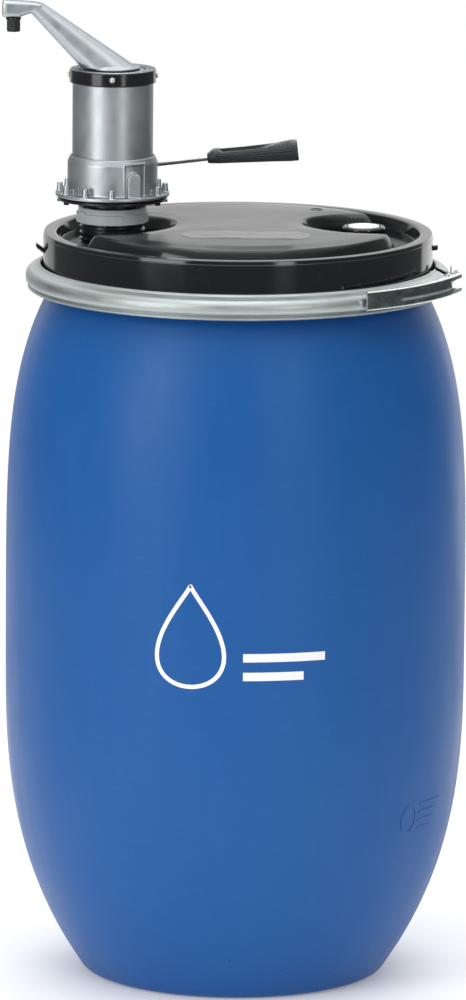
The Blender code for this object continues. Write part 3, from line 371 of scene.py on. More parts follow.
def add_piece(name, mesh, materials, body, *stands_for, sharp=38):
    """Put a finished mesh on a body, in place of CAD nodes."""
    if not isinstance(materials, (list, tuple)):
        materials = [materials]
    obj = bpy.data.objects.new(name, mesh)
    bpy.context.scene.collection.objects.link(obj)
    for material in materials:
        mesh.materials.append(material)
    mesh.shade_smooth()
    mesh.set_sharp_from_angle(angle=math.radians(sharp))
    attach(obj, body)
    if stands_for:
        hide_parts(*stands_for)
    return obj


def to_mesh(name, bm):
    bmesh.ops.recalc_face_normals(bm, faces=bm.faces)
    mesh = bpy.data.meshes.new(name)
    bm.to_mesh(mesh)
    bm.free()
    return mesh


def bridge(bm, upper, lower):
    """Faces between two rings of points; a ring of one point makes a fan."""
    count = max(len(upper), len(lower))
    for i in range(count):
        j = (i + 1) % count
        corners = [upper[i % len(upper)], upper[j % len(upper)],
                   lower[j % len(lower)], lower[i % len(lower)]]
        unique = list(dict.fromkeys(corners))
        if len(unique) >= 3:
            bm.faces.new(unique)


def turned(name, profile, centre=(0.0, 0.0), segments=96, reach=None):
    """Turn (radius, height) points about a vertical axis.

    The profile starts and ends on the axis, or else it closes on itself as a ring. A reach
    function of radius, angle and height makes the section differ round the axis.
    """
    bm = bmesh.new()
    rings = []
    for radius, z in profile:
        ring = []
        for i in range(segments if radius > 1e-7 else 1):
            a = TAU * i / segments
            ring.append(bm.verts.new(about(centre, reach(radius, a, z) if reach else radius, a, z)))
        rings.append(ring)
    for upper, lower in zip(rings, rings[1:]):
        bridge(bm, upper, lower)
    if len(rings[0]) > 1:
        bridge(bm, rings[-1], rings[0])
    return to_mesh(name, bm)


def add_turned(name, profile, centre, material, body, *stands_for, segments=96, reach=None):
    mesh = turned(name, profile, centre, segments, reach)
    return add_piece(name, mesh, material, body, *stands_for)


def turned_part_way(name, profile, start, end, segments=220):
    """Turn a closed profile through part of a circle and cap both ends."""
    bm = bmesh.new()
    sections = []
    for i in range(segments + 1):
        a = start + (end - start) * i / segments
        sections.append([bm.verts.new((r * math.cos(a), r * math.sin(a), z)) for r, z in profile])
    for before, after in zip(sections, sections[1:]):
        bridge(bm, before, after)
    bm.faces.new(sections[0])
    bm.faces.new(sections[-1])
    return to_mesh(name, bm)


def soften(points, radius, steps=3, closed=False):
    """Round the corners of an outline, less where its sides are short.

    A point just beyond each arc keeps the shading of the long sides flat.
    """
    count = len(points)
    result = []
    for i, point in enumerate(points):
        if not closed and i in (0, count - 1):
            result.append(tuple(point))
            continue
        here = Vector(point)
        before, after = Vector(points[i - 1]) - here, Vector(points[(i + 1) % count]) - here
        reach = min(radius, 0.3 * before.length, 0.3 * after.length)
        first, last = here + before.normalized() * reach, here + after.normalized() * reach
        result.append(tuple(first + before.normalized() * reach / 2))
        for k in range(steps + 1):
            t = k / steps
            result.append(tuple(first * (1 - t) ** 2 + here * 2 * t * (1 - t) + last * t ** 2))
        result.append(tuple(last + after.normalized() * reach / 2))
    return result


def loft(name, sections):
    """Closed skin through rings of equally many points."""
    return to_mesh(name, loft_into(bmesh.new(), sections))


def loft_into(bm, sections):
    rings = [[bm.verts.new(point) for point in section] for section in sections]
    for before, after in zip(rings, rings[1:]):
        bridge(bm, before, after)
    bm.faces.new(rings[0])
    bm.faces.new(rings[-1])
    return bm


def cylinder_into(bm, start, end, radius, segments=48):
    start, end = Vector(start), Vector(end)
    turn = (end - start).to_track_quat("Z", "Y").to_matrix().to_4x4()
    bmesh.ops.create_cone(bm, cap_ends=True, segments=segments, radius1=radius, radius2=radius,
                          depth=(end - start).length, matrix=Matrix.Translation((start + end) / 2) @ turn)


def mesh_into(bm, mesh):
    bm.from_mesh(mesh)
    bpy.data.meshes.remove(mesh)


def cast_together(name, bm, voxel, smoothing=4):
    """Fuse overlapping closed forms into one skin with the soft edges of a casting."""
    rough = bpy.data.objects.new(name + "_forms", to_mesh(name + "_forms", bm))
    bpy.context.scene.collection.objects.link(rough)
    fuse = rough.modifiers.new("fuse", "REMESH")
    fuse.mode = "VOXEL"
    fuse.voxel_size = voxel
    relax = rough.modifiers.new("relax", "SMOOTH")
    relax.factor = 0.5
    relax.iterations = smoothing
    graph = bpy.context.evaluated_depsgraph_get()
    mesh = bpy.data.meshes.new_from_object(rough.evaluated_get(graph))
    bpy.data.objects.remove(rough)
    mesh.name = name
    return mesh


def bevelled_box(bm, low_corner, high_corner, radius, turn=None):
    low_corner, high_corner = Vector(low_corner), Vector(high_corner)
    place = Matrix.Translation((low_corner + high_corner) / 2) @ Matrix.Diagonal(
        (*(high_corner - low_corner), 1.0))
    made = bmesh.ops.create_cube(bm, size=1.0, matrix=place)
    edges = list({edge for vert in made["verts"] for edge in vert.link_edges})
    verts = bmesh.ops.bevel(bm, geom=edges, offset=radius, segments=3, profile=0.5, affect="EDGES")["verts"]
    if turn is not None:
        bmesh.ops.transform(bm, matrix=turn, verts=verts)
    return verts


def superellipse(half_a, half_b, power, count):
    """Points (a, b) of a rounded rectangle."""
    points = []
    for i in range(count):
        t = TAU * (i + 0.5) / count
        c, s = math.cos(t), math.sin(t)
        points.append((half_a * math.copysign(abs(c) ** (2 / power), c),
                       half_b * math.copysign(abs(s) ** (2 / power), s)))
    return points


def smoothstep(t):
    t = np.clip(t, 0.0, 1.0)
    return t * t * (3 - 2 * t)


def about(centre, radius, angle, z):
    return Vector((centre[0] + radius * math.cos(angle), centre[1] + radius * math.sin(angle), z))


# ---------------------------------------------------------------- drum

BELLY_Z = 342 * MM
NECK_R = 200 * MM
NECK_Z = 745 * MM
BASE_R = 161 * MM
SHOULDER_POWER = 4.7
BASE_POWER = 2.8
CHINE_R = 16 * MM
DRUM_WALL = 4 * MM


def barrel_radius(z):
    """Outer radius of the blown barrel at a height."""
    if z > BELLY_Z:
        return BELLY_R - (BELLY_R - NECK_R) * ((z - BELLY_Z) / (NECK_Z - BELLY_Z)) ** SHOULDER_POWER
    return BELLY_R - (BELLY_R - BASE_R) * ((BELLY_Z - z) / BELLY_Z) ** BASE_POWER


def build_drum():
    heights = list(np.linspace(NECK_Z, 2 * CHINE_R, 90))
    flange_r = 218.5 * MM
    outside = soften([(NECK_R - DRUM_WALL, MOUTH_TOP_Z), (flange_r, MOUTH_TOP_Z),
                      (flange_r, MOUTH_TOP_Z - 6 * MM), (NECK_R + 1 * MM, MOUTH_TOP_Z - 6 * MM),
                      (barrel_radius(heights[0]), heights[0])], 1.2 * MM)
    outside += [(barrel_radius(z), z) for z in heights[1:]]
    wall_slope = math.radians(35)
    foot_z = CHINE_R * (1 - math.sin(wall_slope))
    chine_x = barrel_radius(foot_z) - CHINE_R * math.cos(wall_slope)
    for i in range(9):
        a = -wall_slope + (wall_slope - math.pi / 2) * i / 8
        outside.append((chine_x + CHINE_R * math.cos(a), CHINE_R + CHINE_R * math.sin(a)))
    under = [(chine_x - 12 * MM, 0.0), (chine_x - 18 * MM, 2.5 * MM), (45 * MM, 2.8 * MM),
             (40 * MM, 1.8 * MM), (0.0, 1.8 * MM)]
    inside = [(0.0, 6.5 * MM), (chine_x - 18 * MM, 6.5 * MM)]
    inside += [(barrel_radius(z) - DRUM_WALL, z) for z in heights[::-3]]
    add_turned("drum_barrel", inside + outside + under, (0, 0), BLUE, "drum", "drum_shell", segments=180)


def on_drum(angle, z, lift):
    """A point on the barrel's face. The angle is from the front, positive to the right."""
    r = barrel_radius(z) + lift
    return (r * math.sin(angle), -r * math.cos(angle), z)


def band_on_drum(bm, path, width, lift, closed=True):
    """A raised or printed line along a path of (angle, height) points."""
    count = len(path)
    rings = []
    for i, (angle, z) in enumerate(path):
        before = path[i - 1] if closed or i else path[i]
        after = path[(i + 1) % count] if closed or i < count - 1 else path[i]
        across = Vector(((before[1] - after[1]), (after[0] - before[0]) * BELLY_R)).normalized()
        ring = []
        for side, height in ((-0.5, -0.2 * MM), (-0.5, lift), (0.5, lift), (0.5, -0.2 * MM)):
            ring.append(bm.verts.new(on_drum(angle + across.x * side * width / BELLY_R,
                                             z + across.y * side * width, height)))
        rings.append(ring)
    pairs = list(zip(rings, rings[1:]))
    if closed:
        pairs.append((rings[-1], rings[0]))
    for first, second in pairs:
        bridge(bm, first, second)
    if not closed:
        bm.faces.new(rings[0])
        bm.faces.new(rings[-1])


def drop_outline(centre_angle, centre_z, height, count=72):
    """A water drop: round below, drawn to a point above."""
    points = []
    for i in range(count):
        t = TAU * i / count
        across = 0.5 * math.sin(t) * math.sin(t / 2) ** 1.3
        up = 0.5 * math.cos(t)
        points.append((centre_angle + across * height * 0.92 / BELLY_R, centre_z + up * height))
    return points


def build_print():
    """A plain printed sign on the front: a drop and two bars."""
    bm = bmesh.new()
    sign_z = 412 * MM
    band_on_drum(bm, drop_outline(math.radians(-11), sign_z, 108 * MM), 4.5 * MM, 0.12 * MM)
    for row, end in ((-22, 22.5), (-42, 17.0)):
        path = [(math.radians(a), sign_z + row * MM) for a in np.linspace(2, end, 16)]
        band_on_drum(bm, path, 9 * MM, 0.12 * MM, closed=False)
    add_piece("printed_sign", to_mesh("printed_sign", bm), PRINT, "drum")


def build_moulded_mark():
    """A faint raised oval and plain bars low on the right side."""
    bm = bmesh.new()
    centre_angle, centre_z = math.radians(51), 196 * MM
    turns = [TAU * i / 40 for i in range(40)]
    oval = [(centre_angle + 12 * MM / BELLY_R * math.cos(a), centre_z + 15 * MM * math.sin(a)) for a in turns]
    band_on_drum(bm, oval, 1.6 * MM, 0.5 * MM)
    for row in range(4):
        start, end = centre_angle + 18 * MM / BELLY_R, centre_angle + (62 - 6 * row) * MM / BELLY_R
        z = centre_z + (14 - 9 * row) * MM
        path = [(start + (end - start) * i / 10, z) for i in range(11)]
        band_on_drum(bm, path, 2.2 * MM, 0.4 * MM, closed=False)
    add_piece("moulded_mark", to_mesh("moulded_mark", bm), BLUE, "drum")


# ---------------------------------------------------------------- lid

def dome_depth(x, y):
    """How far inside the dome's outline a point is: a disc less the two ports' pockets."""
    depth = DOME_R - np.hypot(x, y)
    blend = 5 * MM
    for pocket_x, pocket_y, outward in POCKETS:
        along, across = (x - pocket_x) * outward, y - pocket_y
        outside = np.where(along < 0, np.hypot(along, across), np.abs(across)) - POCKET_R
        mix = np.clip(0.5 + 0.5 * (outside - depth) / blend, 0.0, 1.0)
        depth = outside * (1 - mix) + depth * mix - blend * mix * (1 - mix)
    return depth


def lid_top(x, y):
    """Height of the lid's upper face."""
    depth = dome_depth(x, y)
    share = smoothstep((depth + 5 * MM) / (10 * MM))
    shoulder = 1.2 * MM * smoothstep((depth - 3 * MM) / (22 * MM))
    crown = DOME_CROWN * (1 - np.clip(np.hypot(x, y) / DOME_R, 0, 1) ** 2)
    top = DOME_Z - 1.6 * MM + shoulder + crown
    reach = np.hypot(np.maximum(np.abs(x - LABEL_X) - LABEL_HALF, 0), y - LABEL_Y)
    top = top + 0.6 * MM * smoothstep((LABEL_END - reach) / (2.5 * MM))
    return LID_FLOOR_Z + (top - LID_FLOOR_Z) * share


def build_lid():
    segments = 480
    radii = np.concatenate([np.arange(4, 60, 4), np.arange(60, 190.4, 1.45)]) * MM
    angles = TAU * np.arange(segments) / segments
    bm = bmesh.new()
    rings = [[bm.verts.new((0.0, 0.0, float(lid_top(np.array(0.0), np.array(0.0)))))]]
    for r in radii:
        x, y = r * np.cos(angles), r * np.sin(angles)
        z = lid_top(x, y)
        rings.append([bm.verts.new(point) for point in zip(x, y, z)])
    skin = 3.5 * MM
    foot = LID_FOOT_Z
    rim = [
        (RIM_INNER_R - 3.2 * MM, LID_FLOOR_Z), (RIM_INNER_R, LID_RIM_Z - 0.8 * MM),
        (RIM_INNER_R + 4 * MM, LID_RIM_Z),
        (SKIRT_R - 1 * MM, LID_RIM_Z - 0.2 * MM), (SKIRT_R - 0.6 * MM, LID_RIM_Z - 4.2 * MM),
        (SKIRT_R, LID_RIM_Z - 4.8 * MM), (SKIRT_R, foot + 10 * MM), (SKIRT_R + 3 * MM, foot + 7 * MM),
        (221 * MM, foot + 3.6 * MM), (221.5 * MM, foot), (NECK_R - 0.5 * MM, foot),
        (NECK_R - 0.5 * MM, foot + 4.5 * MM), (SKIRT_R - skin, foot + 9.5 * MM),
        (SKIRT_R - skin, LID_RIM_Z - skin), (RIM_INNER_R + skin, LID_RIM_Z - skin),
        (RIM_INNER_R - 4 * MM + skin, LID_FLOOR_Z - skin), (30 * MM, LID_FLOOR_Z - skin),
    ]
    for r, z in soften(rim, 1.9 * MM, steps=4):
        rings.append([bm.verts.new((r * math.cos(a), r * math.sin(a), z)) for a in angles])
    rings.append([bm.verts.new((0.0, 0.0, LID_FLOOR_Z - skin))])
    for inner, outer in zip(rings, rings[1:]):
        bridge(bm, inner, outer)
    add_piece("lid_moulding", to_mesh("lid_moulding", bm), LID_BLACK, "drum", "drum_lid", sharp=60)


def build_lid_details():
    floor = LID_FLOOR_Z - 1 * MM
    # neck of the bung: a rounded collar with a dark gap round the plug
    collar = soften([(18.2 * MM, floor), (18.2 * MM, LID_FLOOR_Z + 15.6 * MM),
                     (21.2 * MM, LID_FLOOR_Z + 16 * MM), (23.2 * MM, LID_FLOOR_Z + 14 * MM),
                     (23.2 * MM, LID_FLOOR_Z + 2 * MM), (25.6 * MM, floor)], 1.4 * MM, closed=True)
    add_turned("bung_collar", collar, PLUG, LID_BLACK, "drum")
    # a small square lug on the right, and a longer slanted one on the left
    add_lug("lug_right", 0.0, -17.4 * MM, -16.4 * MM, 5.3 * MM, 3.5 * MM, 2.6 * MM)
    add_lug("lug_left", math.radians(186), -20.5 * MM, -13.5 * MM, 8.3 * MM, 6 * MM, 2.7 * MM)
    mark = Vector((84.5 * MM, 108 * MM, DOME_Z + 0.4 * MM))
    gate = soften([(5.2 * MM, mark.z - MM), (5.2 * MM, mark.z + 0.6 * MM),
                   (6.8 * MM, mark.z + 0.6 * MM), (6.8 * MM, mark.z - MM)], 0.3 * MM, closed=True)
    add_turned("moulding_gate_ring", gate, mark.xy, LID_BLACK, "drum", segments=48)


def add_lug(name, azimuth, inner_drop, outer_drop, reach, half_width, half_thick):
    """A lug on the skirt that slants from its inner to its outer height, both below the rim."""
    out = Vector((math.cos(azimuth), math.sin(azimuth), 0.0))
    aside = Vector((-out.y, out.x, 0.0))
    sections = []
    for share, size in ((0.0, 1.0), (0.3, 1.0), (0.9, 1.0), (1.0, 0.72)):
        r = SKIRT_R - 1 * MM + (reach + 1 * MM) * share
        centre = out * r + Vector((0.0, 0.0, LID_RIM_Z + inner_drop + (outer_drop - inner_drop) * share))
        sections.append([centre + aside * a + Vector((0.0, 0.0, b))
                         for a, b in superellipse(half_width * size, half_thick * size, 4, 32)])
    add_piece(name, loft(name, sections), BLACK, "drum", sharp=50)


def build_bung():
    top = high("bung_plug").z
    foot = low("bung_plug").z
    r = radius_of("bung_plug")
    profile = soften([(0.0, top - 0.5 * MM), (5.4 * MM, top - 0.5 * MM), (6.4 * MM, top - 0.1 * MM),
                      (r - 2.6 * MM, top - 0.1 * MM), (r - 1.8 * MM, top), (r, top - 0.3 * MM), (r, foot),
                      (0.0, foot)], 0.6 * MM)
    add_turned("white_plug", profile, PLUG, WHITE, "bung_plug", "bung_plug")


# ---------------------------------------------------------------- clamp ring and closure

SPLIT_ANGLE = math.radians(-6.5)
SPLIT_HALF = math.radians(2.3)


def build_clamp_ring():
    # an upstand against the lid, a stepped slope, the round outer face, a groove and the lower lip
    outside = [
        (211.0, 769.9), (212.2, 770.9), (213.6, 770.4), (214.2, 769.2), (217.2, 768.3), (221.6, 765.9),
        (222.6, 765.6), (225.4, 763.0), (226.8, 760.4), (227.2, 757.6), (226.9, 753.0), (225.6, 751.2),
        (223.4, 750.3), (222.9, 749.2), (223.8, 748.2), (225.0, 747.3), (224.9, 745.8), (223.2, 744.6),
        (219.0, 744.2),
    ]
    outside = [Vector((r, z)) * MM for r, z in outside]
    centre = Vector((212 * MM, 757 * MM))
    inside = []
    for i, here in enumerate(outside):
        along = outside[min(i + 1, len(outside) - 1)] - outside[max(i - 1, 0)]
        normal = Vector((along.y, -along.x)).normalized()
        if normal.dot(centre - here) < 0:
            normal = -normal
        inside.append(here + normal * 1.1 * MM)
    profile = [tuple(p) for p in outside + inside[::-1]]
    mesh = turned_part_way("ring_sheet", profile, SPLIT_ANGLE + SPLIT_HALF, SPLIT_ANGLE + TAU - SPLIT_HALF)
    add_piece("ring_sheet", mesh, GALVANISED, "drum", "clamp_ring", sharp=50)


LEVER_START = math.radians(-13.6)
LEVER_END = math.radians(-54)
LEVER_HALF_HEIGHT = radius_along_z("closure_lever")
NOTCH_END = math.radians(-20.5)
NOTCH_HALF = 5.5 * MM


def lever_outer_radius(angle):
    t = max(0.0, (angle - LEVER_START) / (LEVER_END - LEVER_START))
    return 246 * MM - 13 * MM * t ** 0.8


def lever_section(a, part):
    """Section of the channel at an angle: all of it, or one half beside the link's notch."""
    sheet, corner, inset = 1.5 * MM, 2.0 * MM, 0.9 * MM
    half = LEVER_HALF_HEIGHT
    t = (a - LEVER_START) / (LEVER_END - LEVER_START)
    outer = lever_outer_radius(a) - inset
    depth = 3 * MM + 11 * MM * max(0.0, 1 - t * 2.6)
    bead = inset * float(smoothstep((t - 0.10) / 0.05) * smoothstep((0.74 - t) / 0.05))
    top = [(outer - corner * (1 - math.cos(q)), half - corner + corner * math.sin(q))
           for q in np.linspace(0.3, math.pi / 2, 4)]
    upper = top + [(outer - depth, half), (outer - depth, half - sheet),
                   (outer - corner - 0.3 * MM, half - sheet), (outer - sheet, half - corner - MM)]
    if part == 0:
        front = []
        for k in range(13):
            w = (half - corner) * (k / 6 - 1)
            front.append((outer + bead * math.exp(-(w / (2.4 * MM)) ** 4), w))
        outline = front + upper + [(r, -w) for r, w in reversed(upper)]
    else:
        outline = [(outer, NOTCH_HALF)] + upper + [(outer - sheet, NOTCH_HALF)]
        outline = [(r, w * part) for r, w in outline]
    return [(r * math.cos(a), r * math.sin(a), CLOSURE_Z + w) for r, w in outline]


def build_closure_lever():
    """Pressed channel that follows the ring, with a rolled bead and a notch for the link."""
    bm = bmesh.new()
    for part, start, end, steps in ((0, NOTCH_END, LEVER_END, 76), (1, LEVER_START, NOTCH_END, 16),
                                    (-1, LEVER_START, NOTCH_END, 16)):
        loft_into(bm, [lever_section(a, part) for a in np.linspace(start, end, steps + 1)])
    bmesh.ops.recalc_face_normals(bm, faces=bm.faces)
    for face in bm.faces:
        height = abs(face.calc_center_median().z - CLOSURE_Z)
        if height > LEVER_HALF_HEIGHT - 1.1 * MM:
            face.material_index = 1
    add_piece("lever_channel", to_mesh("lever_channel", bm), [ZINC, WORN_EDGE], "closure_lever",
              "closure_lever", sharp=45)
    build_lever_lip()


def build_lever_lip():
    """The lever's free end is folded outwards, and its edge is worn bright."""
    bm = bmesh.new()
    outer = lever_outer_radius(LEVER_END)
    path = [(outer - 2.6 * MM, 0.0), (outer - 1.2 * MM, 0.1 * MM), (outer + 0.8 * MM, 1.2 * MM),
            (outer + 2.2 * MM, 3.4 * MM)]
    sections = []
    for r, shift in path:
        a = LEVER_END - shift / outer
        ring = []
        for across, w in superellipse(0.75 * MM, LEVER_HALF_HEIGHT - 0.4 * MM, 6, 24):
            b = a + across / outer
            ring.append((r * math.cos(b), r * math.sin(b), CLOSURE_Z + w))
        sections.append(ring)
    loft_into(bm, sections)
    add_piece("lever_end_lip", to_mesh("lever_end_lip", bm), WORN_EDGE, "closure_lever")


def build_closure_pins():
    """Rivets and pin with domed heads."""
    for node in ("lever_rivet_top", "lever_rivet_bottom", "link_pin"):
        centre = middle(node)
        r = radius_of(node)
        upper, lower = high(node).z, low(node).z
        profile = soften([(0.0, upper + 0.5 * MM), (r * 1.5, upper + 0.2 * MM), (r * 1.6, upper - 0.6 * MM),
                          (r, upper - 0.7 * MM), (r, lower + 0.3 * MM), (0.0, lower)], 0.4 * MM)
        body = "closure_lever" if node == "link_pin" else "drum"
        add_turned(node + "_head", profile, centre.xy, BRIGHT_ZINC, body, node, segments=32)


# ---------------------------------------------------------------- pump base

NECK_ROOT_R = 32.6 * MM
NECK_CREST_R = 35 * MM
THREAD_PITCH = 6.5 * MM


def about_pump(angle):
    """Carries a shape from the frame's axis to the pump's, turned by an angle."""
    return Matrix.Translation((*PUMP, 0)) @ Matrix.Rotation(angle, 4, "Z")


def build_port_neck():
    """The lid's threaded neck: one helical ridge, flat topped, that runs out at both ends."""
    base, top = LID_FLOOR_Z - 1 * MM, high("drum_lid").z
    rows = 76
    bore = 26 * MM

    def reach(r, a, z):
        if r == bore:
            return bore
        fade = smoothstep((z - base - 4 * MM) / (3 * MM)) * smoothstep((top - 2 * MM - z) / (3 * MM))
        flare = 2.2 * MM * max(0.0, 1 - (z - base) / (4 * MM)) ** 2
        phase = ((z - base) / THREAD_PITCH - a / TAU) % 1.0
        ridge = smoothstep((0.30 - abs(phase - 0.5)) / 0.14)
        return float(r + (NECK_CREST_R - r) * ridge * fade + flare)

    profile = [(NECK_ROOT_R, base + (top - base) * row / rows) for row in range(rows + 1)]
    add_turned("threaded_neck", profile + [(bore, top), (bore, base)], PUMP, BLACK, "drum",
               segments=160, reach=reach)


def build_union_nut():
    """Grey nut: a round upper step and a lower band with four grip lugs and flats between."""
    lower, upper = low("union_nut").z, high("union_nut").z
    step = upper - 6.4 * MM
    lug_r = radius_of("union_nut")
    band_r = 38.4 * MM
    profile = soften([(31.4 * MM, upper), (36.2 * MM, upper), (36.8 * MM, step + 0.6 * MM), (band_r, step),
                      (band_r, lower), (35.6 * MM, lower), (35.6 * MM, upper - 3 * MM),
                      (31.4 * MM, upper - 3 * MM)], 0.7 * MM, closed=True)

    def reach(r, a, z):
        if r < 37.2 * MM:
            return r
        # each lug covers 24 degrees and falls to a slightly flat face
        turn = (a - math.radians(30) + math.pi / 4) % (math.pi / 2) - math.pi / 4
        lug = smoothstep((math.radians(13) - abs(turn)) / math.radians(3))
        return float(r + (lug_r - band_r) * lug)

    bm = bmesh.new()
    mesh_into(bm, turned("nut_band", profile, PUMP, 240, reach))
    for i in range(4):
        a = math.radians(30 + 90 * i)
        bevelled_box(bm, (36 * MM, -6 * MM, step - 1 * MM), (lug_r, 6 * MM, step + 2.4 * MM), 0.8 * MM,
                     about_pump(a))
    add_piece("nut_with_lugs", to_mesh("nut_with_lugs", bm), GREY, "drum", "union_nut")


def build_base_plate():
    lower, upper = low("base_plate").z, high("base_plate").z
    plate_r = radius_of("base_plate")
    plate_low = upper - 2.8 * MM
    neck_r = 30.5 * MM
    profile = soften([(20 * MM, upper), (plate_r, upper), (plate_r, plate_low), (45 * MM, plate_low),
                      (43 * MM, plate_low - 1.2 * MM), (neck_r, plate_low - 1.2 * MM),
                      (neck_r, plate_low - 6.5 * MM),
                      (neck_r - 1 * MM, plate_low - 7.2 * MM), (neck_r, plate_low - 8 * MM),
                      (neck_r, upper - 16 * MM), (24.5 * MM, upper - 17 * MM), (24.5 * MM, lower),
                      (17 * MM, lower), (17 * MM, upper - 25 * MM), (20 * MM, upper - 25 * MM)],
                     0.5 * MM, closed=True)
    add_turned("pump_base", profile, PUMP, BLACK, "drum", "base_plate")


SCREW_COUNT = 12
SCREW_CIRCLE_R = 56 * MM


def build_flange_screws():
    """Socket heads under the base plate."""
    for i in range(SCREW_COUNT):
        node = "flange_screw_%02d" % (i + 1)
        centre = middle(node)
        foot = low(node).z
        head_r = radius_of(node)
        socket = foot + 1.4 * MM
        profile = soften([(0.0, high(node).z), (1.45 * MM, high(node).z), (1.45 * MM, foot + 2.8 * MM),
                          (head_r, foot + 2.7 * MM), (head_r, foot), (1.5 * MM, foot), (1.3 * MM, socket),
                          (0.0, socket)], 0.3 * MM, steps=2)
        add_turned(node + "_fine", profile, centre.xy, DARK_STEEL, "drum", node, segments=24)


# ---------------------------------------------------------------- pump housing

def build_housing():
    """One casting: flange, body with a chamfered shoulder, eleven bosses and the pillar where the twelfth
    would stand.
    """
    lower, upper = low("pump_housing").z, high("pump_housing").z
    flange_r = radius_of("pump_housing")
    flange_top = lower + 3.8 * MM
    body_r = 48 * MM
    shoulder = upper - 6.5 * MM
    bm = bmesh.new()
    profile = soften([(43.4 * MM, upper), (44.8 * MM, upper), (45.4 * MM, upper - 0.8 * MM),
                      (body_r - 0.4 * MM, shoulder + 0.6 * MM), (body_r, shoulder), (body_r, flange_top),
                      (flange_r, flange_top), (flange_r, lower), (40 * MM, lower), (40 * MM, upper - 9 * MM),
                      (43.4 * MM, upper - 9 * MM)], 0.5 * MM, closed=True)
    mesh_into(bm, turned("housing_body", profile, PUMP, 144))
    pillar_angle = math.radians(-60)
    for i in range(SCREW_COUNT):
        a = math.radians(30) * i
        if abs(a - TAU - pillar_angle) < 0.1:
            continue
        boss = soften([(0.0, flange_top + 9.6 * MM), (3.0 * MM, flange_top + 9.5 * MM),
                       (3.7 * MM, flange_top - 1 * MM), (0.0, flange_top - 1 * MM)], 1.5 * MM)
        mesh_into(bm, turned("boss", boss, about(PUMP, SCREW_CIRCLE_R, a, 0).xy, 32))
        # a low web ties each boss to the body
        bevelled_box(bm, (47 * MM, -1.1 * MM, flange_top - 1 * MM),
                     (SCREW_CIRCLE_R, 1.1 * MM, flange_top + 5 * MM), 0.5 * MM, about_pump(a))
    shaft = middle("lever_shaft")
    add_pillar(bm, shaft, flange_top, body_r)
    for back_y, boss_r in ((53 * MM, 11 * MM), (49 * MM, 13 * MM)):
        start = Vector((shaft.x, PUMP.y + 35 * MM, shaft.z))
        cylinder_into(bm, start, (shaft.x, PUMP.y + back_y, shaft.z), boss_r)
    mesh = cast_together("housing_casting", bm, 0.62 * MM, 3)
    add_piece("housing_casting", mesh, SILVER, "drum", "pump_housing", sharp=80)


def add_pillar(bm, shaft, flange_top, body_r):
    """An arched pillar on the front, inside a raised rectangular frame."""
    arch_r = 7.3 * MM
    pillar_front = PUMP.y - 50.4 * MM
    back = PUMP.y - 36 * MM
    arch = [(shaft.x + arch_r * math.cos(t), shaft.z + 1 * MM + arch_r * math.sin(t))
            for t in np.linspace(0, math.pi, 17)]
    arch += [(shaft.x - arch_r, flange_top - MM), (shaft.x + arch_r, flange_top - MM)]
    centre_x = shaft.x
    sections = []
    for y, grow in ((back, 1.0), (pillar_front + 1.6 * MM, 1.0), (pillar_front + 0.5 * MM, 0.93),
                    (pillar_front, 0.82)):
        tall = 0.97 + 0.03 * grow
        sections.append([(centre_x + (x - centre_x) * grow, y, flange_top + (z - flange_top) * tall)
                         for x, z in arch])
    loft_into(bm, sections)
    for index, (z, r) in enumerate(((shaft.z + 0.5 * MM, 3.4 * MM), (shaft.z - 9 * MM, 2.6 * MM))):
        add_raised_ring("pillar_ring_%d" % (index + 1), Vector((centre_x, pillar_front + 1.2 * MM, z)),
                        r, 0.9 * MM, 1.95 * MM, "drum")
    # frame of three thin ribs, two upright and one across the top, that stand just proud of the round body
    frame_half, frame_top = 10.6 * MM, shaft.z + 17.5 * MM
    rib = 0.9 * MM

    def surface_y(x):
        reach = x - PUMP.x
        return PUMP.y - math.sqrt(max(body_r ** 2 - reach ** 2, 0.0))

    for x in (centre_x - frame_half, centre_x + frame_half):
        y = surface_y(x)
        bevelled_box(bm, (x - rib, y - 1.0 * MM, flange_top - MM), (x + rib, y + 4 * MM, frame_top), 0.4 * MM)
    across = []
    for i in range(9):
        x = centre_x - frame_half + 2 * frame_half * i / 8
        y = surface_y(x) - 0.9 * MM
        across.append([(x, y, frame_top - 2 * rib), (x, y, frame_top), (x, y + 4 * MM, frame_top),
                       (x, y + 4 * MM, frame_top - 2 * rib)])
    loft_into(bm, across)


# ---------------------------------------------------------------- barrel, band and cover

def build_barrel():
    lower, upper = low("pump_barrel").z, high("pump_barrel").z
    r = radius_of("pump_barrel")
    profile = soften([(39.2 * MM, upper), (r, upper), (r, lower), (39.2 * MM, lower)], 0.4 * MM, closed=True)
    add_turned("barrel_tube", profile, PUMP, SILVER, "drum", "pump_barrel", segments=144)


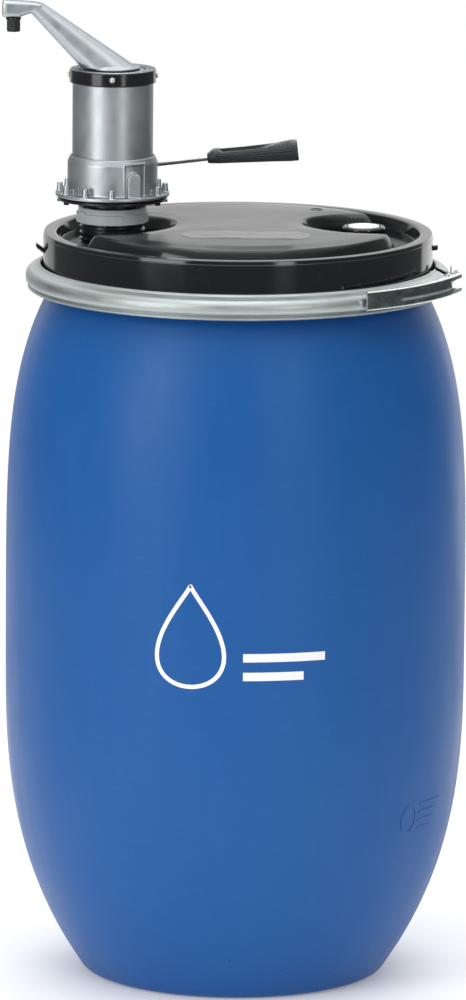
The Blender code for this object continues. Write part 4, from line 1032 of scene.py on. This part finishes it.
def build_band():
    lower, upper = low("clamp_band").z, high("clamp_band").z
    r = radius_of("clamp_band")
    profile = soften([(43.3 * MM, upper - 0.2 * MM), (r - 0.8 * MM, upper), (r, upper - 1.2 * MM),
                      (r, lower + 0.8 * MM), (r - 0.8 * MM, lower), (43.3 * MM, lower)],
                     0.6 * MM, closed=True)
    add_turned("black_band", profile, PUMP, BLACK_GLOSS, "drum", "clamp_band", segments=144)
    head = soften([(0.0, 3.0 * MM), (1.05 * MM, 3.0 * MM), (1.15 * MM, 4.0 * MM), (2.5 * MM, 4.1 * MM),
                   (3.0 * MM, 3.3 * MM), (2.9 * MM, 0.0), (0.0, 0.0)], 0.3 * MM, steps=2)
    seat = soften([(2.8 * MM, 1.4 * MM), (2.8 * MM, 2.35 * MM), (3.9 * MM, 2.2 * MM), (3.9 * MM, 1.4 * MM)],
                  0.2 * MM, steps=2, closed=True)
    for i in range(4):
        node = "band_screw_%d" % (i + 1)
        out = Vector((math.cos(TAU * i / 4), math.sin(TAU * i / 4), 0))
        start = Vector((*PUMP, middle(node).z)) + out * (r - 2 * MM)
        place = Matrix.Translation(start) @ out.to_track_quat("Z", "Y").to_matrix().to_4x4()
        for name, profile, material, nodes in ((node + "_head", head, WORN_EDGE, [node]),
                                               (node + "_seat", seat, BLACK, [])):
            mesh = turned(name, profile, segments=32)
            mesh.transform(place)
            add_piece(name, mesh, material, "drum", *nodes)


def build_cover():
    """Silver cover inside the band, with a raised ring and a groove round the spout."""
    lower, upper = low("top_cover").z, high("top_cover").z
    r = radius_of("top_cover")
    bore, spigot_r = 22.3 * MM, 38.4 * MM
    profile = soften([(bore, upper - 0.6 * MM), (33 * MM, upper - 0.6 * MM), (33.6 * MM, upper - 2 * MM),
                      (35.4 * MM, upper - 2 * MM), (36 * MM, upper), (38.2 * MM, upper),
                      (38.8 * MM, upper - 1.4 * MM), (40.4 * MM, upper - 1.4 * MM), (41 * MM, upper),
                      (r, upper), (r, lower + 4 * MM), (spigot_r, lower + 4 * MM), (spigot_r, lower),
                      (bore, lower)],
                     0.4 * MM, closed=True)
    add_turned("cover_casting", profile, PUMP, SILVER, "drum", "top_cover", segments=120)


# ---------------------------------------------------------------- spout

SPOUT_HEAD_Z = high("spout_arm").z - 18.4 * MM      # underside of the level head


def arm_side(t):
    """Left and right ends of the arm's horizontal section: t runs from foot to head."""
    left = -34.5 * MM - 62.5 * MM * t
    right = 24.5 * MM - 99.5 * MM * t
    return left, right


def build_spout():
    """Cast arm: round foot, tapering arm with flat flanks, and a level head."""
    spigot_z, top = low("spout_arm").z, high("spout_arm").z
    foot_z = spigot_z + 14 * MM
    bm = bmesh.new()
    foot = soften([(16 * MM, foot_z + 2.8 * MM), (28.2 * MM, foot_z + 2.6 * MM),
                   (29.6 * MM, foot_z + 1.4 * MM), (29.6 * MM, foot_z), (22 * MM, foot_z),
                   (22 * MM, spigot_z), (16 * MM, spigot_z)], 0.7 * MM, closed=True)
    mesh_into(bm, turned("spout_foot", foot, PUMP, 120))
    arm_low, arm_high = foot_z + 1.5 * MM, top - 3.6 * MM
    sections = []
    steps = 26
    for i in range(steps + 1):
        t = i / steps
        left, right = arm_side(t)
        half_y = (26.5 - 16.3 * t ** 0.85) * MM
        z = arm_low + (arm_high - arm_low) * t
        centre = (left + right) / 2
        sections.append([(PUMP.x + centre + a, PUMP.y + b, z)
                         for a, b in superellipse((right - left) / 2, half_y, 2.7, 48)])
    loft_into(bm, sections)
    add_head(bm, top)
    mesh = cast_together("spout_casting", bm, 0.8 * MM, 6)
    add_piece("spout_casting", mesh, SILVER, "spout", "spout_arm", sharp=80)


def add_head(bm, top):
    """The level head, seen from above a rounded bar that carries the nozzle near its end."""
    head_left = low("spout_arm").x - PUMP.x
    stations = []
    for x, width, fall in ((head_left + 0.1 * MM, 0.80, 0.0), (head_left + 1.2 * MM, 0.93, 0.0),
                           (head_left + 5 * MM, 1.0, 0.2), (head_left + 18 * MM, 1.0, 0.9),
                           (head_left + 34 * MM, 1.0, 2.2), (head_left + 41 * MM, 0.98, 3.6)):
        rise = 0.0 if x < head_left + 22 * MM else (x - head_left - 22 * MM) * 0.5
        upper, lower = top - fall * MM, SPOUT_HEAD_Z + rise
        centre_z, half_z = (upper + lower) / 2, (upper - lower) / 2
        ring = superellipse(half_z * min(1.0, width + 0.1), 11.0 * MM * width, 4.2, 40)
        stations.append([(PUMP.x + x, PUMP.y + b, centre_z + a) for a, b in ring])
    loft_into(bm, stations)


def build_flank_arcs():
    """Two shallow arcs cast into the head's flank."""
    place = Vector((middle("outlet_nozzle").x + 6 * MM, PUMP.y - 9.8 * MM, SPOUT_HEAD_Z + 8.5 * MM))
    for index, r in enumerate((3.8 * MM, 5.8 * MM)):
        add_raised_ring("flank_arc_%d" % (index + 1), place, r, 0.7 * MM, 1.15 * MM, "spout")


def add_raised_ring(name, place, r, width, height, body):
    """A low ring with rounded edges on a face that looks to the front."""
    profile = soften([(r - width, 0.0), (r - width, height), (r, height), (r, 0.0)], 0.3 * MM, closed=True)
    mesh = turned(name, profile, (0, 0), 48)
    mesh.transform(Matrix.Translation(place) @ Matrix.Rotation(math.pi / 2, 4, "X"))
    add_piece(name, mesh, SILVER, body)


def build_nozzle():
    """Black outlet with fine upright ribs under a plain collar."""
    centre = middle("outlet_nozzle").xy
    lower, top = low("outlet_nozzle").z, high("outlet_nozzle").z
    collar_r = radius_of("outlet_nozzle")
    collar_low = SPOUT_HEAD_Z - 2.6 * MM
    bore, ribs = 4.2 * MM, 24
    profile = [(bore, top), (5.4 * MM, top), (5.4 * MM, collar_low + 2.4 * MM),
               (collar_r, collar_low + 2.4 * MM), (collar_r, collar_low), (6.9 * MM, collar_low - 0.4 * MM),
               (6.9 * MM, lower + 1.6 * MM), (6.5 * MM, lower), (bore, lower)]

    def reach(r, a, z):
        if not 6.4 * MM < r < collar_r - 0.6 * MM:
            return r
        return r + (0.32 * MM * (0.5 + 0.5 * math.cos(ribs * a)) - 0.1 * MM)

    add_turned("ribbed_nozzle", soften(profile, 0.4 * MM, steps=2, closed=True), centre, BLACK, "spout",
               "outlet_nozzle", segments=144, reach=reach)


# ---------------------------------------------------------------- hand lever

SHAFT = middle("lever_shaft")
LEVER_RISE = math.radians(6.8)
LEVER_Y = PUMP.y + 60 * MM


def along_lever(u, w, y=0.0):
    """A point at u along the lever from its shaft, w above its line and y behind it."""
    c, s = math.cos(LEVER_RISE), math.sin(LEVER_RISE)
    return Vector((SHAFT.x + u * c - w * s, LEVER_Y + y, SHAFT.z + u * s + w * c))


def build_lever_metal():
    bm = bmesh.new()
    hub_front, hub_back = low("lever_hub").y, high("lever_hub").y
    r = radius_of("lever_hub")
    hub = soften([(5.1 * MM, 0.0), (r, 0.0), (r, hub_back - hub_front), (5.1 * MM, hub_back - hub_front)],
                 0.9 * MM, closed=True)
    mesh = turned("hub", hub, (0, 0), 64)
    mesh.transform(Matrix.Translation((SHAFT.x, hub_back, SHAFT.z)) @ Matrix.Rotation(math.pi / 2, 4, "X"))
    mesh_into(bm, mesh)
    add_piece("hub_with_boss", to_mesh("hub_with_boss", bm), BRIGHT_ZINC, "hand_lever", "lever_hub")
    bm = bmesh.new()
    rod_r = 2.5 * MM
    start, end = 6 * MM, 132 * MM
    sections = []
    for u in (start, start + 0.4 * MM, end - 0.4 * MM, end):
        size = rod_r if start < u < end else rod_r - 0.4 * MM
        sections.append([along_lever(u, size * math.cos(TAU * i / 32), size * math.sin(TAU * i / 32))
                         for i in range(32)])
    loft_into(bm, sections)
    add_piece("steel_rod", to_mesh("steel_rod", bm), BRIGHT_ZINC, "hand_lever", "lever_rod")
    bm = bmesh.new()
    head_back = high("hub_screw").y
    across = radius_of("hub_screw")
    sections = []
    for y, size in ((head_back - 3 * MM, 1.0), (head_back - 0.5 * MM, 1.0), (head_back, 0.9)):
        sections.append([(SHAFT.x + across * size * math.cos(TAU * i / 6), y,
                          SHAFT.z + across * size * math.sin(TAU * i / 6)) for i in range(6)])
    loft_into(bm, sections)
    add_piece("hub_hex_head", to_mesh("hub_hex_head", bm), BRIGHT_ZINC, "hand_lever", "hub_screw")


def grip_shape(u):
    """Bottom, top and half width of the grip at u, in mm, through a few stations."""
    stations = np.array([
        (77.5, -4.4, 5.2, 6.6), (79.5, -5.4, 6.6, 8.3), (85.0, -5.9, 9.9, 10.2), (88.5, -6.2, 9.8, 10.8),
        (93.0, -6.5, 8.7, 11.0), (120.0, -8.5, 8.2, 11.0), (150.0, -10.8, 8.4, 11.4),
        (163.0, -12.0, 9.4, 12.2),
        (169.0, -12.4, 10.1, 12.5), (173.5, -12.8, 9.9, 12.4), (175.0, -12.1, 8.9, 11.2),
    ])
    return [float(np.interp(u, stations[:, 0], stations[:, k])) * MM for k in (1, 2, 3)]


def build_grip():
    """Moulded grip: long ribs, a hump by the rod and a dished top with a raised far edge."""
    count = 120
    ribs = 30
    sections = []
    for u in np.concatenate([np.linspace(77.5, 92, 16), np.linspace(94, 160, 34), np.linspace(162, 175, 15)]):
        bottom, top, half_y = grip_shape(u)
        middle_w, half_w = (top + bottom) / 2, (top - bottom) / 2
        ribbed = float(smoothstep((u - 84) / 6) * smoothstep((171 - u) / 4))
        dished = float(smoothstep((u - 90) / 2.5) * smoothstep((160 - u) / 30))
        ring = []
        for i, (w, y) in enumerate(superellipse(half_w, half_y, 2.6, count)):
            swell = 1 + 0.028 * math.cos(ribs * TAU * (i + 0.5) / count) * ribbed
            w, y = w * swell, y * swell
            floor_w = half_w - 2.6 * MM * dished
            if w > floor_w and y < 5.5 * MM:
                w = floor_w
            ring.append(along_lever(u * MM, middle_w + w, y))
        sections.append(ring)
    mesh = loft("ribbed_grip", sections)
    dish_start, dish_end = SHAFT.x + 92 * MM, SHAFT.x + 162 * MM
    for face in mesh.polygons:
        level = face.normal.z > 0.97 and face.center.y < LEVER_Y + 5.5 * MM
        if level and dish_start < face.center.x < dish_end:
            face.material_index = 1
    add_piece("ribbed_grip", mesh, [GRIP_BLACK, BLACK_GLOSS], "hand_lever", "lever_grip", sharp=50)


# ---------------------------------------------------------------- CAD nodes that stay in sight

def finish_cad_nodes():
    """Give each CAD node that is still shown its slot's full material."""
    slots = {part["node"]: part["material_slot"] for part in frame["record"]["subparts"]}
    for name, obj in frame["nodes"].items():
        material = SLOT_MATERIALS[slots[name]]
        obj.data.materials.clear()
        obj.data.materials.append(material)


# ---------------------------------------------------------------- floor, light and camera

def build_floor():
    """A pale round floor that fades out at its edge."""
    s = Shading("floor_paper", "white_plastic", (0.86, 0.86, 0.86), 0.8)
    s.tint(s.ramp(s.noise(3, detail=2), 0.4, 0.7, 0.0, 0.3), (0.84, 0.84, 0.84))
    s.set("Emission Color", (1.0, 1.0, 1.0, 1.0))
    s.set("Emission Strength", 0.17)
    edge = s.nodes.new("ShaderNodeVectorMath")
    edge.operation = "LENGTH"
    s.links.new(s.place, edge.inputs[0])
    fade = s.ramp(edge.outputs["Value"], 1.4, 3.4, 1.0, 0.0)
    s.links.new(fade, s.shader.inputs["Alpha"])
    bm = bmesh.new()
    bmesh.ops.create_circle(bm, cap_ends=True, segments=96, radius=3.5)
    mesh = to_mesh("floor", bm)
    floor = bpy.data.objects.new("floor", mesh)
    floor.location = (0, 0, -0.2 * MM)
    bpy.context.scene.collection.objects.link(floor)
    mesh.materials.append(s.material)


ROOM_LIGHT = 0.19


def build_world():
    """A white studio: a bright backdrop behind, a dim room in front, and white for the eye."""
    world = bpy.data.worlds.new("studio")
    bpy.context.scene.world = world
    world.use_nodes = True
    nodes, links = world.node_tree.nodes, world.node_tree.links
    nodes.clear()

    wires = Nodes(world.node_tree)
    split = nodes.new("ShaderNodeSeparateXYZ")
    links.new(nodes.new("ShaderNodeTexCoord").outputs["Generated"], split.inputs[0])
    x, y, z = split.outputs
    off_back = wires.math("ABSOLUTE", wires.math("ARCTAN2", x, y))
    backdrop = wires.ramp(off_back, math.radians(38), math.radians(42), 1.0, 0.0, smooth=False)
    ceiling = wires.ramp(z, 0.45, 0.75, 0.0, 0.8, smooth=False)
    side = wires.ramp(x, -0.3, 0.3, 0.62, 1.2, smooth=False)
    centre = wires.ramp(wires.math("ABSOLUTE", x), 0.1, 0.45, 0.78, 1.0, smooth=False)
    behind = wires.math("MULTIPLY", backdrop, wires.math("MULTIPLY", side, centre))
    reflected = wires.math("ADD", wires.math("ADD", behind, ROOM_LIGHT), ceiling)
    eye = nodes.new("ShaderNodeLightPath").outputs["Is Camera Ray"]
    strength = nodes.new("ShaderNodeMix")
    strength.data_type = "FLOAT"
    links.new(eye, strength.inputs["Factor"])
    links.new(reflected, strength.inputs["A"])
    strength.inputs["B"].default_value = 1.0
    background = nodes.new("ShaderNodeBackground")
    links.new(strength.outputs["Result"], background.inputs["Strength"])
    background.inputs["Color"].default_value = (1.0, 1.0, 1.0, 1.0)
    output = nodes.new("ShaderNodeOutputWorld")
    links.new(background.outputs[0], output.inputs[0])


def soft_box(name, azimuth, distance, height, width, tall, power):
    """An upright soft box. Azimuth is from the camera's side, positive to the right."""
    lamp = bpy.data.lights.new(name, "AREA")
    lamp.shape = "RECTANGLE"
    lamp.size = width
    lamp.size_y = tall
    lamp.energy = power
    obj = bpy.data.objects.new(name, lamp)
    a = math.radians(azimuth)
    obj.location = (distance * math.sin(a), -distance * math.cos(a), height)
    target = Vector((0, 0, 0.55))
    obj.rotation_euler = (target - obj.location).to_track_quat("-Z", "Y").to_euler()
    obj.visible_camera = False
    bpy.context.scene.collection.objects.link(obj)


def build_lights():
    soft_box("box_left", -44, 3.4, 1.5, 1.7, 2.4, 52)
    soft_box("box_right", 27, 3.6, 1.5, 0.7, 2.4, 20)
    soft_box("box_top", 0, 0.6, 3.6, 3.0, 3.0, 34)
    soft_box("strip_behind", 180, 2.6, 3.3, 3.0, 0.4, 12)


def build_camera():
    """A long lens, about 9 m away and 2.2 m up."""
    data = bpy.data.cameras.new("camera")
    data.sensor_width = 36.0
    data.lens = 302.9
    data.clip_start = 0.5
    data.clip_end = 60.0
    camera = bpy.data.objects.new("camera", data)
    bpy.context.scene.collection.objects.link(camera)
    camera.location = (-3.3 * MM, -8.896, 2.198)
    pitch, roll = math.radians(10.73), math.radians(0.45)
    look = Matrix.Rotation(math.pi / 2 - pitch, 4, "X")
    camera.rotation_euler = (look @ Matrix.Rotation(roll, 4, "Z")).to_euler()
    bpy.context.scene.camera = camera
    bpy.context.scene.view_settings.view_transform = "Standard"


build_drum()
build_print()
build_moulded_mark()
build_lid()
build_lid_details()
build_bung()
build_clamp_ring()
build_closure_lever()
build_closure_pins()
build_port_neck()
build_union_nut()
build_base_plate()
build_flange_screws()
build_housing()
build_barrel()
build_band()
build_cover()
build_spout()
build_flank_arcs()
build_nozzle()
build_lever_metal()
build_grip()
finish_cad_nodes()
build_floor()
build_world()
build_lights()
build_camera()
